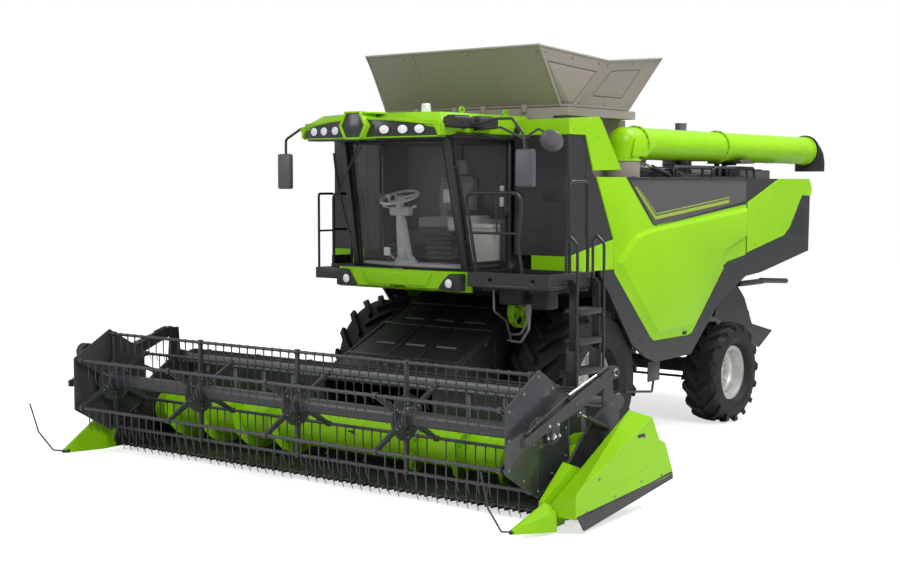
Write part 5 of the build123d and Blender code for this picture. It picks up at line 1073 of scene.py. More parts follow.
# tank and its extension
def makeTankDress():
    low = [Vector(p) for p in ((-1.19, -1.41, 3.75), (1.19, -1.41, 3.75), (1.30, -1.34, 3.75), (1.30, -0.23, 3.75),
            (1.19, -0.13, 3.75),
                               (-1.19, -0.13, 3.75), (-1.30, -0.23, 3.75), (-1.30, -1.34, 3.75))]
    high = [Vector(p) for p in ((-1.187, -1.82, 4.38), (1.187, -1.82, 4.38), (1.60, -1.13, 4.24), (1.60, 0.0, 4.34),
            (1.187, 0.29, 4.36),
                                (-1.187, 0.29, 4.36), (-1.60, 0.0, 4.34), (-1.60, -1.13, 4.24))]
    bolts, rims, ribs = bmesh.new(), bmesh.new(), bmesh.new()
    centre = Vector((0, -0.75, 4.05))
    for i in range(8):
        j = (i + 1) % 8
        a, b, c, d = low[i], low[j], high[j], high[i]
        out = (b - a).cross(d - a).normalized()
        if out.dot((a + c) / 2 - centre) < 0:
            out = -out
        wide = i in (0, 4)
        count = 6 if wide else 3
        for share in (0.1, 0.9):
            start, end = a.lerp(d, share), b.lerp(c, share)
            inset = 0.06 / max(0.2, (end - start).length)
            boltLine(bolts, start.lerp(end, inset) + out * 0.001, end.lerp(start, inset) + out * 0.001, count, out,
                    0.008)
        for share in ((0.28, 0.72) if wide else ()):  # sheet joints with a double row of rivets
            start, end = a.lerp(b, share), d.lerp(c, share)
            for k in range(5):
                bolt(bolts, start.lerp(end, 0.2 + 0.15 * k) + out * 0.001, out, 0.006, False)
            bar(ribs, start.lerp(end, 0.02), start.lerp(end, 0.985), 0.006, sides=8)
        bar(rims, d + Vector((0, 0, -0.004)), c + Vector((0, 0, -0.004)), 0.013, sides=10)
        bar(ribs, a.lerp(d, 0.03), b.lerp(c, 0.03), 0.012, sides=8)
        bar(ribs, a.lerp(d, 0.02), d.lerp(a, 0.02), 0.010, sides=8)
    for x in (-0.75, -0.2, 0.2, 0.75):  # hinge straps at the foot of the front flap
        block(ribs, (x - 0.03, -1.47, 3.70), (x + 0.03, -1.405, 3.79), 0.005)
    settle("extension_bolts", bolts, "chassis", wornSteel)
    settle("extension_joints", ribs, "chassis", tankSheet)
    # top rims painted lighter than the sheet: a painted highlight along the extension's top edges
    settle("extension_rim", rims, "chassis", paint("rimPaintedHighlight", (0.33, 0.32, 0.29), dustiness=0.0, gloss=0.45,
            coat=0.0))
    bm = bmesh.new()  # cross braces and the filling auger's head inside the tank
    for y in (-1.0, -0.4):
        bar(bm, (-1.25, y, 3.80), (1.25, y, 3.80), 0.02, sides=12)
    bar(bm, (0.1, -0.75, 3.1), (0.1, -0.75, 4.0), 0.12, sides=28)
    bar(bm, (0.1, -0.75, 4.0), (0.1, -0.75, 4.05), 0.16, 0.10, 28)
    settle("tank_braces", bm, "chassis", wornSteel)


makeTankDress()


# unloading auger
def makeUnloadDress():
    x, z, r = 1.345, 3.39, 0.18
    bolts, bands, dark = bmesh.new(), bmesh.new(), bmesh.new()
    for y in (-0.14, 1.79):
        boltRing(bolts, (x, y + 0.026, z), r + 0.011, 16, (0, 1, 0), 0.007)
        boltRing(bolts, (x, y - 0.026, z), r + 0.011, 16, (0, -1, 0), 0.007)
    for y in (0.55, 1.2, 2.5, 3.2, 3.9):  # rolled seams of the tube
        turned(bands, [(-0.006, r - 0.002), (0.0, r + 0.0035), (0.006, r - 0.002)], (x, y, z), (0, 1, 0), 56)
    turned(bands, [(-0.02, r - 0.002), (-0.02, r + 0.012), (0.02, r + 0.012), (0.02, r - 0.002)], (x, 4.30, z),
            (0, 1, 0), 56)
    boltRing(bolts, (x, 4.32, z), r + 0.004, 12, (0, 1, 0), 0.005)
    turned(bands, [(0.0, r - 0.002), (0.0, r + 0.02), (0.018, r + 0.02), (0.018, r - 0.002)], (x, -0.39, 3.19),
            (0, 0, 1), 56)
    plate(bands, [(-0.03, 3.20), (-0.25, 3.20), (-0.35, 3.33), (-0.10, 3.33)], "x", x - 0.012, x + 0.012, 0.004)
    for way in (1, -1):  # cheek ribs on the bend
        plate(bands, [(-0.50, 3.24), (-0.20, 3.24), (0.02, 3.36), (-0.02, 3.42), (-0.44, 3.44)], "x",
                x + way * (r - 0.012), x + way * (r + 0.006), 0.004)
    boltRing(bolts, (x, -0.39, 3.208), r + 0.01, 14, (0, 0, 1), 0.006)
    settle("auger_bands", bands, "unload_auger", limePaint)
    settle("auger_bolts", bolts, "unload_auger", wornSteel)
    for y in (0.9, 2.2):
        block(dark, (x - 0.05, y - 0.05, z - r - 0.04), (x + 0.05, y + 0.05, z - r + 0.01), 0.01)
    turned(dark, [(-0.012, r + 0.002), (-0.012, r + 0.03), (0.012, r + 0.03), (0.012, r + 0.002)], (x, 4.36, z),
            (0, 1, 0), 56)
    settle("auger_clamps", dark, "unload_auger", mouldedBlack)
    bm = bmesh.new()  # spout: round boot that turns down in rings, with a hem at its mouth
    rings = []
    for k in range(13):
        a = math.radians(90 * k / 12)
        rings.append((Vector((x, 4.34 + 0.185 * math.sin(a), 3.20 + 0.19 * math.cos(a))),
                Vector((0, math.cos(a), -math.sin(a)))))
    rings.append((Vector((x, 4.525, 3.11)), Vector((0, 0, -1))))
    for spot, along in rings:
        side_ = Vector((1, 0, 0))
        up = side_.cross(along).normalized()
        made = bmesh.ops.create_circle(bm, cap_ends=False, segments=48, radius=0.205)
        for vert in made["verts"]:
            vert.co = spot + side_ * vert.co.x + up * vert.co.y * 0.80
    bmesh.ops.bridge_loops(bm, edges=bm.edges[:])
    bmesh.ops.holes_fill(bm, edges=[e for e in bm.edges if e.is_boundary], sides=0)
    bmesh.ops.recalc_face_normals(bm, faces=bm.faces)
    for k in (3, 7, 11):
        spot, along = rings[k]
        hem = bmesh.new()  # flattened like the boot
        turned(hem, [(-0.006, 0.150), (-0.004, 0.2085), (0.004, 0.2085), (0.006, 0.150)], spot, along, 48)
        up = Vector((1, 0, 0)).cross(along).normalized()
        for vert in hem.verts:
            vert.co -= up * (vert.co - spot).dot(up) * 0.20
        pour(hem, bm)
    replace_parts(settle("spout_boot", bm, "unload_auger", rubberPart), "unload_spout")
    # swing cylinder and oil pipes under the tube's root
    pipes, rods = bmesh.new(), bmesh.new()
    bar(pipes, (1.50, -0.02, 3.125), (1.50, 0.30, 3.055), 0.030, sides=24)
    bar(rods, (1.50, -0.15, 3.155), (1.50, -0.02, 3.125), 0.014, sides=20)
    bar(pipes, (1.50, 0.30, 3.055), (1.50, 0.386, 3.035), 0.020, sides=20)
    for shift in (0.0, 0.035, 0.070):
        tubeRun(pipes, cornered([(1.46 - shift, -0.10, 3.03), (1.44 - shift, 0.10, 3.09 + shift * 0.3),
                (1.44 - shift, 0.70, 3.07), (1.42 - shift, 0.80, 3.00)], 0.04), 0.009)
    tubeRun(pipes, cornered([(1.52, 0.50, 2.99), (1.52, 0.50, 3.13), (1.52, 1.36, 3.13), (1.52, 1.36, 2.99)], 0.06),
            0.013)
    tubeRun(pipes, cornered([(1.52, 1.42, 2.99), (1.52, 1.42, 3.13), (1.52, 2.28, 3.13), (1.52, 2.28, 2.99)], 0.06),
            0.013)
    settle("auger_pipes", pipes, "chassis", mouldedBlack)
    settle("auger_rods", rods, "chassis", rodSteel)


makeUnloadDress()


# upper deck
def makeEngineDeck():
    dark, pipes, grey = bmesh.new(), bmesh.new(), bmesh.new()
    # cooling box with a framed screen, its rotating cleaner and the engine cover ribs
    block(dark, (-1.45, 2.70, 2.985), (0.30, 3.70, 3.16), 0.02, 3)
    for i in range(22):
        x = -1.40 + i * 0.076
        block(dark, (x, 2.74, 3.155), (x + 0.014, 3.66, 3.172), 0.003)
    block(grey, (-0.66, 0.59, 3.22), (0.36, 1.81, 3.27), 0.015, 3)
    for i in range(7):
        block(dark, (-0.60 + i * 0.13, 0.63, 3.262), (-0.55 + i * 0.13, 1.77, 3.276), 0.004)
    turned(grey, [(-0.012, 0.02), (-0.012, 0.175), (0.0, 0.18), (0.012, 0.172), (0.03, 0.10), (0.03, 0.02)],
            (0.5, 2.3, 3.25), (0, 0, 1), 40)
    for k in range(3):
        turned(dark, [(-0.008, 0.165), (-0.008, 0.177), (0.008, 0.177), (0.008, 0.165)], (0.5, 2.3, 3.05 + 0.07 * k),
                (0, 0, 1), 40)
    block(grey, (0.62, 2.55, 2.985), (1.30, 3.40, 3.12), 0.02, 3)
    for y in (2.7, 2.95, 3.2):
        block(dark, (0.66, y, 3.115), (1.26, y + 0.02, 3.132), 0.004)
    # stack: tailpipe with a slanted mouth, clamp and heat shield slots
    turned(pipes, [(0.0, 0.055), (0.0, 0.074), (0.03, 0.078), (0.05, 0.074), (0.05, 0.055)], (0.93, 1.65, 3.42),
            (0, 0, 1), 32)
    turned(pipes, [(0.0, 0.05), (0.0, 0.073), (0.012, 0.076), (0.012, 0.05)], (0.93, 1.65, 3.675), (0, 0, 1), 32)
    for k in range(10):
        a = k * math.tau / 10
        block(dark, (0.93 + 0.131 * math.cos(a) - 0.006, 1.65 + 0.131 * math.sin(a) - 0.006, 3.03),
              (0.93 + 0.131 * math.cos(a) + 0.006, 1.65 + 0.131 * math.sin(a) + 0.006, 3.26), 0.002)
    # hydraulic lines from the tank wall to the swing cylinder and on along the deck
    for k in range(5):
        x = 1.02 - 0.05 * k
        tubeRun(pipes, cornered([(x, 0.05, 3.05 + 0.03 * k), (x, 0.30 + 0.05 * k, 3.06 + 0.03 * k),
                (x + 0.10, 0.9, 3.04 + 0.02 * k),
                                 (x + 0.12, 2.5, 3.02 + 0.02 * k)], 0.08), 0.012)
    bar(pipes, (1.28, -0.10, 3.10), (1.20, 0.62, 3.08), 0.034, sides=20, soft=0.004)  # swing cylinder
    bar(dark, (1.20, 0.60, 3.08), (1.16, 0.98, 3.07), 0.017, sides=16)
    block(dark, (1.10, 0.96, 2.985), (1.22, 1.06, 3.12), 0.01)
    for y in (0.35, 1.4, 2.2):
        block(dark, (0.72, y, 2.985), (1.24, y + 0.03, 3.03), 0.005)
    # posts that carry the folded tube, and the walkway's kick strips
    for y in (2.05, 2.25):
        block(dark, (1.18, y, 2.985), (1.24, y + 0.04, 3.26), 0.006)
    plate(dark, [(1.10, 3.19), (1.60, 3.19), (1.56, 3.235), (1.48, 3.205), (1.20, 3.205), (1.14, 3.235)], "y", 2.0,
            2.34, 0.006)
    block(dark, (-1.49, 0.45, 2.981), (-1.44, 2.58, 3.03), 0.005)
    block(dark, (1.44, 0.45, 2.981), (1.49, 2.58, 3.03), 0.005)
    for i in range(26):  # tread bars of the deck
        block(dark, (-1.40, 0.10 + i * 0.018 * 5.2, 2.981), (-0.75, 0.115 + i * 0.018 * 5.2, 2.99), 0.002)
    settle("deck_dark_fittings", dark, "chassis", frameDark)
    settle("deck_lines", pipes, "chassis", wornSteel)
    settle("deck_grey_fittings", grey, "chassis", beamGrey)


makeEngineDeck()
print("stage: body, tank and deck")

# wheels
front = {"x": 1.24, "y": -1.2, "z": 0.81, "hub": 0.150, "cap": 0.0415, "circle": 0.200, "nuts": 12, "nut": 0.012,
        "lip": 0.345, "seat": -0.038}
rear = {"x": 1.425, "y": 1.83, "z": 0.62, "hub": 0.110, "cap": 0.0615, "circle": 0.150, "nuts": 10, "nut": 0.012,
        "lip": 0.310, "seat": 0.002}
for sizes in (front, rear):  # each dish falls in two steps from its lip to the bolt face, then rises to the hub
    low, hub, lip, cap = sizes["seat"], sizes["hub"], sizes["lip"], sizes["cap"]
    sizes["dish"] = [(low - 0.03, hub), (low, hub), (low, sizes["circle"] + 0.03),
            (low - 0.006, sizes["circle"] + 0.050),
                     (low - 0.006, lip - 0.080), (low + 0.018, lip - 0.060), (low + 0.022,
                             lip - 0.030), (low + 0.050, lip - 0.014),
                     (low + 0.056, lip - 0.002), (low + 0.040, lip + 0.001), (low - 0.03, lip + 0.001)]
    sizes["beadAt"] = (lambda r, low=low, lip=lip: low - 0.006 if r < lip - 0.075 else low + 0.020)
rimNut = metal("rimNut", (0.34, 0.335, 0.325), tarnish=0.2, gloss=0.36, streak=(60.0, 60.0, 60.0), metallic=0.7)


def makeWheelDress(name, wheel, way):
    dish, nuts, small = bmesh.new(), bmesh.new(), bmesh.new()
    centre = (way * wheel["x"], wheel["y"], wheel["z"])
    axis = (way, 0, 0)
    turned(dish, wheel["dish"], centre, axis, 112)
    for r in (wheel["circle"] + 0.040, wheel["lip"] - 0.045):  # rolled beads round the dish
        a = wheel["beadAt"](r)
        turned(dish, [(a - 0.004, r - 0.007), (a + 0.008, r - 0.004), (a + 0.008, r + 0.004),
                (a - 0.004, r + 0.007)], centre, axis, 112)
    seat = centre[0] + way * wheel["seat"]
    boltRing(nuts, (seat, centre[1], centre[2]), wheel["circle"], wheel["nuts"], axis, wheel["nut"], 0.2)
    boltRing(nuts, (centre[0] + way * (wheel["cap"] - 0.001), centre[1], centre[2]), wheel["hub"] * 0.5, 8, axis,
            0.007, 0.1)
    turned(nuts, [(-0.01, 0.0), (0.012, 0.0), (0.012, 0.020), (0.004, 0.028), (-0.01, 0.028)],
            (centre[0] + way * wheel["cap"], centre[1], centre[2]), axis, 32)
    a, r = 0.95, wheel["lip"] - 0.02
    at = wheel["beadAt"](r)
    bar(small, (centre[0] + way * (at - 0.004), centre[1] + r * math.cos(a), centre[2] + r * math.sin(a)),
        (centre[0] + way * (at + 0.036), centre[1] + (r - 0.006) * math.cos(a),
                centre[2] + (r - 0.006) * math.sin(a)), 0.006, sides=14)
    settle("rim_dish_" + name, dish, "wheel_" + name, rimSilver)
    settle("rim_nuts_" + name, nuts, "wheel_" + name, rimNut)
    settle("rim_valve_" + name, small, "wheel_" + name, rubberPart)


for wheelName, wheelSizes, wheelWay in (("front_left", front, 1), ("front_right", front, -1), ("rear_left", rear, 1),
        ("rear_right", rear, -1)):
    makeWheelDress(wheelName, wheelSizes, wheelWay)


# decks and ladder
def makeLadder():
    bm = bmesh.new()
    for y in (-2.30, -1.88):
        block(bm, (1.872, y - 0.016, 0.50), (2.006, y + 0.016, 1.30), 0.006)
        block(bm, (1.905, y - 0.016, 1.28), (1.998, y + 0.016, 1.94), 0.006)
        for z in (0.477, 0.777, 1.077, 1.377, 1.677):
            for x in (1.90, 1.98):
                bolt(bm, (x, y + (0.017 if y > -2 else -0.017), z), (0, 1 if y > -2 else -1, 0), 0.008)
    for z in (0.46, 0.76, 1.06, 1.36, 1.66):  # grip strips and turned-down edges of the steps
        for k in range(5):
            block(bm, (1.862 + 0.033 * k, -2.275, z + 0.030), (1.874 + 0.033 * k, -1.905, z + 0.042), 0.003)
        block(bm, (2.008, -2.29, z - 0.02), (2.022, -1.89, z + 0.036), 0.004)
    settle("ladder_dress", bm, "chassis", frameDark)
    bm = bmesh.new()
    for y in (-2.335, -1.845):
        tubeRun(bm, cornered([(2.015, y, 0.95), (2.015, y, 2.34), (1.93, y, 2.42), (1.882, y, 2.36),
                (1.882, y, 2.02)], 0.07), 0.015)
        for z in (1.02, 1.62):
            block(bm, (1.985, y - 0.02 if y > -2 else y - 0.004, z - 0.02),
                    (2.02, y + 0.004 if y > -2 else y + 0.02, z + 0.02), 0.004)
        block(bm, (1.868, y - 0.02, 1.99), (1.898, y + 0.02, 2.052), 0.004)
    settle("ladder_rails", bm, "chassis", frameDark)


makeLadder()


def makeDecks():
    bm, pale = bmesh.new(), bmesh.new()
    top = 2.05
    front_ = -2.655
    for x in (0.93, 1.885):  # coaming and its bolts
        boltLine(bm, (x, front_ + 0.10, top + 0.001), (x, -1.95, top + 0.001), 5, (0, 0, 1), 0.008)
    boltLine(bm, (1.05, front_ - 0.001, 1.955), (1.80, front_ - 0.001, 1.955), 6, (0, -1, 0), 0.008)
    boltLine(bm, (1.901, front_ + 0.12, 1.955), (1.901, -2.02, 1.955), 4, (1, 0, 0), 0.008)
    block(bm, (0.95, front_ - 0.010, 1.898), (1.885, front_ + 0.004, 1.93), 0.006)
    block(bm, (1.894, front_ + 0.02, 1.898), (1.910, -1.93, 1.93), 0.006)
    for k in range(11):  # pierced grip tread: raised eyelets in rows between the slots
        y = front_ + 0.078 + 0.065 * k
        if y > -1.96:
            break
        for i in range(8):
            x = 0.99 + 0.112 * i
            turned(bm, [(-0.002, 0.006), (-0.002, 0.020), (0.006, 0.015), (0.006, 0.009)], (x, y, 1.988), (0, 0, 1),
                    12)
    block(bm, (-1.302, -2.29, 2.045), (-1.296, -1.95, 2.14), 0.002)
    settle("deck_dress", bm, "chassis", frameDark)
    # lamp bracket, box and tank under the left deck
    bm = bmesh.new()
    block(bm, (1.02, -2.28, 1.70), (1.30, -1.96, 1.90), 0.02, 3)
    block(bm, (1.36, -2.20, 1.66), (1.56, -1.98, 1.90), 0.02, 3)
    for x in (1.05, 1.62, 1.84):
        block(bm, (x, -2.60, 1.86), (x + 0.04, -1.92, 1.90), 0.004)
    block(bm, (0.95, -2.35, 1.862), (1.86, -2.30, 1.90), 0.004)
    settle("deck_under", bm, "chassis", mouldedBlack)
    bm = bmesh.new()  # spoked belt pulley beside the feeder's drive, with its guard pipes
    cx, cy, cz = 0.985, -1.86, 1.60
    turned(pale, [(-0.035, 0.150), (-0.035, 0.172), (-0.022, 0.176), (0.0, 0.160), (0.022, 0.176), (0.035, 0.172),
            (0.035, 0.150)],
           (cx, cy, cz), (1, 0, 0), 56)
    turned(pale, [(-0.045, 0.0), (-0.045, 0.045), (0.05, 0.045), (0.05, 0.0)], (cx, cy, cz), (1, 0, 0), 32)
    for k in range(5):
        a = k * math.tau / 5 + 0.3
        bar(pale, (cx, cy + 0.04 * math.cos(a), cz + 0.04 * math.sin(a)),
                (cx, cy + 0.155 * math.cos(a), cz + 0.155 * math.sin(a)), 0.014, sides=12)
    settle("belt_pulley", pale, "chassis", limePaint)
    bar(bm, (0.86, cy, cz), (cx + 0.06, cy, cz), 0.022, sides=20)
    block(bm, (0.865, -1.90, 1.52), (0.905, -1.58, 1.70), 0.008)
    tubeRun(bm, cornered([(1.20, -2.02, 1.72), (1.20, -2.03, 1.50), (1.13, -2.03, 1.38), (1.00, -1.99, 1.36),
            (0.90, -1.92, 1.36)], 0.06), 0.014)
    tubeRun(bm, cornered([(1.26, -2.06, 1.72), (1.26, -2.08, 1.44), (1.16, -2.08, 1.30), (0.98, -2.04, 1.30),
            (0.90, -1.96, 1.30)], 0.06), 0.014)
    tubeRun(bm, cornered([(0.90, -2.20, 1.86), (0.90, -2.20, 1.62), (0.90, -1.98, 1.50), (0.90, -1.90, 1.30)], 0.06),
            0.012)
    settle("deck_pipes", bm, "chassis", wornSteel)


makeDecks()


# feeder house
def makeFeederDress():
    bm, steel = bmesh.new(), bmesh.new()
    slope = math.atan2(677, 1500)
    for way in (1, -1):
        near, far = way * 0.778, way * 0.794
        def along(y0, y1, drop, height):
            def at(y, d):
                return (y, 0.940 + (y + 3.0) * 0.4513 - d)
            plate(bm, [at(y0, drop), at(y1, drop), at(y1, drop + height), at(y0, drop + height)], "x", near, far,
                    0.004)
        along(-2.98, -1.50, 0.015, 0.05)
        along(-2.95, -1.52, 0.28, 0.035)
        along(-2.95, -1.60, 0.50, 0.05)
        for y in (-2.88, -2.45, -2.02, -1.62):
            top = 0.940 + (y + 3.0) * 0.4513
            block(bm, (min(near, far), y - 0.02, top - 0.53), (max(near, far), y + 0.02, top - 0.03), 0.004)
        for y in (-2.7, -2.2, -1.8):
            top = 0.940 + (y + 3.0) * 0.4513
            bolt(steel, (far, y, top - 0.04), (way, 0, 0), 0.010)
            bolt(steel, (far, y, top - 0.525), (way, 0, 0), 0.010)
        turned(bm, [(0.0, 0.0), (0.0, 0.105), (0.012, 0.105), (0.016, 0.095), (0.016, 0.0)],
                (way * 0.778, -2.62, 0.86), (way, 0, 0), 40)
        boltRing(steel, (way * 0.794, -2.62, 0.86), 0.08, 6, (way, 0, 0), 0.008)
    # cover hinges, handle notch and cross ribs on top
    normal = Vector((0, -math.sin(slope), math.cos(slope)))
    for y in (-2.94, -2.62, -2.0, -1.56):
        z = 0.940 + (y + 3.0) * 0.4513
        plate(bm, [(y - 0.018, z - 0.016), (y + 0.018, z), (y + 0.010, z + 0.016), (y - 0.026, z)], "x", -0.76, 0.76,
                0.004)
    for x in (-0.77, -0.22, 0.19, 0.74):
        y0, y1 = -2.96, -1.54
        plate(bm, [(y0, 0.940 + 0.04 * 0.4513 - 0.004), (y1, 0.940 + (y1 + 3) * 0.4513 - 0.004),
                (y1, 0.940 + (y1 + 3) * 0.4513 + 0.012),
                   (y0, 0.940 + 0.04 * 0.4513 + 0.012)], "x", x, x + 0.03, 0.004)
    for x in (-0.6, -0.1, 0.1, 0.6):
        for y in (-2.78, -1.68):
            z = 0.940 + (y + 3.0) * 0.4513
            bolt(steel, (x, y, z), normal, 0.009)
    settle("feeder_ribs", bm, "header", frameDark)
    settle("feeder_bolts", steel, "header", wornSteel)


makeFeederDress()


# header
head = {"half": 2.905, "back": -3.026, "beamY": -2.976, "beamZ": 0.950}


def makeHeaderDress():
    grey, dark, steel, lime = bmesh.new(), bmesh.new(), bmesh.new(), bmesh.new()
    # lines clipped along the top beam
    for y, z, r in ((-3.030, 1.008, 0.011), (-2.998, 1.026, 0.011), (-2.962, 1.028, 0.009)):
        bar(dark, (-2.85, y, z), (2.88, y, z), r, sides=12)
    for x in (-2.6, -1.8, -1.0, -0.2, 0.6, 1.4, 2.2, 2.75):
        block(dark, (x - 0.02, -3.048, 1.0), (x + 0.02, -2.944, 1.044), 0.006)
    for x in (-2.86, -1.43, 0.0, 1.43, 2.86):
        turned(grey, [(-0.03, 0.066), (-0.03, 0.076), (0.03, 0.076), (0.03, 0.066)],
                (x, head["beamY"], head["beamZ"]), (1, 0, 0), 32)
    bar(grey, (-2.904, head["beamY"], head["beamZ"]), (2.904, head["beamY"], head["beamZ"]), 0.0695, sides=48)
    # stiffening ribs pressed into the back wall, front side, and a lip over the auger
    for x in (-2.55, -2.1, -1.65, -1.2, 1.2, 1.65, 2.1, 2.55):
        block(grey, (x - 0.03, head["back"] - 0.010, 0.56), (x + 0.03, head["back"] + 0.004, 0.87), 0.006)
    block(grey, (-2.90, head["back"] - 0.03, 0.885), (2.90, head["back"] + 0.004, 0.91), 0.006)
    for x in (-2.4, -1.5, 1.5, 2.4):
        plate(grey, [(-2.90, 0.25), (-2.93, 0.25), (-2.93, 0.90), (-2.90, 0.90)], "x", x - 0.02, x + 0.02, 0.004)
    boltLine(steel, (-2.80, -2.915, 0.20), (2.80, -2.915, 0.20), 15, (0, 1, 0), 0.010)
    # knife: guards at the half pitch, ledger plates and the sections between them
    pitch = 0.0762
    for i in range(-37, 38):
        x = i * pitch
        if abs(x) > 2.87:
            continue
        plate(dark, [(x - 0.017, -3.925), (x + 0.017, -3.925), (x + 0.004, -4.012), (x - 0.004, -4.012)], "z", 0.046,
                0.071, 0.004)
        plate(steel, [(x + 0.006, -3.91), (x + 0.070, -3.91), (x + 0.045, -3.975), (x + 0.031, -3.975)], "z", 0.067,
                0.0715, 0.001, 1)
        if i % 2 == 0:
            bolt(dark, (x, -3.895, 0.072), (0, 0, 1), 0.009)
    for i in range(-9, 10):  # hold-downs
        x = i * 0.305
        plate(dark, [(x - 0.03, -3.875), (x + 0.03, -3.875), (x + 0.02, -3.95), (x - 0.02, -3.95)], "z", 0.070,
                0.084, 0.004)
    # end sheets: turned edges and bolts
    for way in (1, -1):
        x0, x1 = way * 2.920, way * 2.930
        edge = [(-3.014, 1.0), (-3.136, 1.03), (-3.62, 0.72), (-4.0, 0.36), (-4.09, 0.12)]
        for a, b in zip(edge, edge[1:]):
            bar(lime, (way * 2.914, *a), (way * 2.914, *b), 0.012, sides=10)
        for y, z in ((-3.08, 0.90), (-3.08, 0.60), (-3.08, 0.30), (-3.5, 0.60), (-3.8, 0.40), (-3.95, 0.18)):
            bolt(steel, (way * 2.904, y, z), (-way, 0, 0), 0.010)
        turned(steel, [(0.0, 0.034), (0.0, 0.075), (0.012, 0.075), (0.016, 0.034)], (way * 2.903, -3.35, 0.40),
                (-way, 0, 0), 40)
        block(lime, (min(x0, x1), -3.30, 0.94), (max(x0, x1), -3.12, 0.985), 0.004)
    settle("beam_lines", dark, "header", mouldedBlack)
    settle("trough_ribs", grey, "header", beamGrey)
    settle("header_bolts", steel, "header", wornSteel)
    settle("end_edges", lime, "header", frameDark)


makeHeaderDress()


def makeAugerFingers():
    dark, lime = bmesh.new(), bmesh.new()
    for i in range(12):
        a = math.radians(i * 75)
        x = -0.500 + i * 1.0 / 11
        c, s = math.cos(a), math.sin(a)
        start = (x, -3.35 + 0.19 * c, 0.40 + 0.19 * s)
        bar(dark, start, (x, -3.35 + 0.216 * c, 0.40 + 0.216 * s), 0.024, 0.016, 18)
        bar(dark, (x, -3.35 + 0.20 * c, 0.40 + 0.20 * s), (x, -3.35 + 0.29 * c, 0.40 + 0.29 * s), 0.0092, sides=14)
    for x in (-2.86, 2.86):
        turned(lime, [(-0.012, 0.03), (-0.012, 0.195), (0.012, 0.195), (0.012, 0.03)], (x, -3.35, 0.40), (1, 0, 0),
                56)
        boltRing(dark, (x + (0.012 if x > 0 else -0.012), -3.35, 0.40), 0.12, 8, (1 if x > 0 else -1, 0, 0), 0.008)
    settle("auger_fingers", dark, "intake_auger", mouldedBlack)
    settle("auger_ends", lime, "intake_auger", limePaint)


makeAugerFingers()


# reel
reel = {"y": -4.198, "z": 0.805, "bar": 0.505, "half": 2.790, "tube": 0.072}
spiders = [-2.76 + i * 1.38 for i in range(5)]


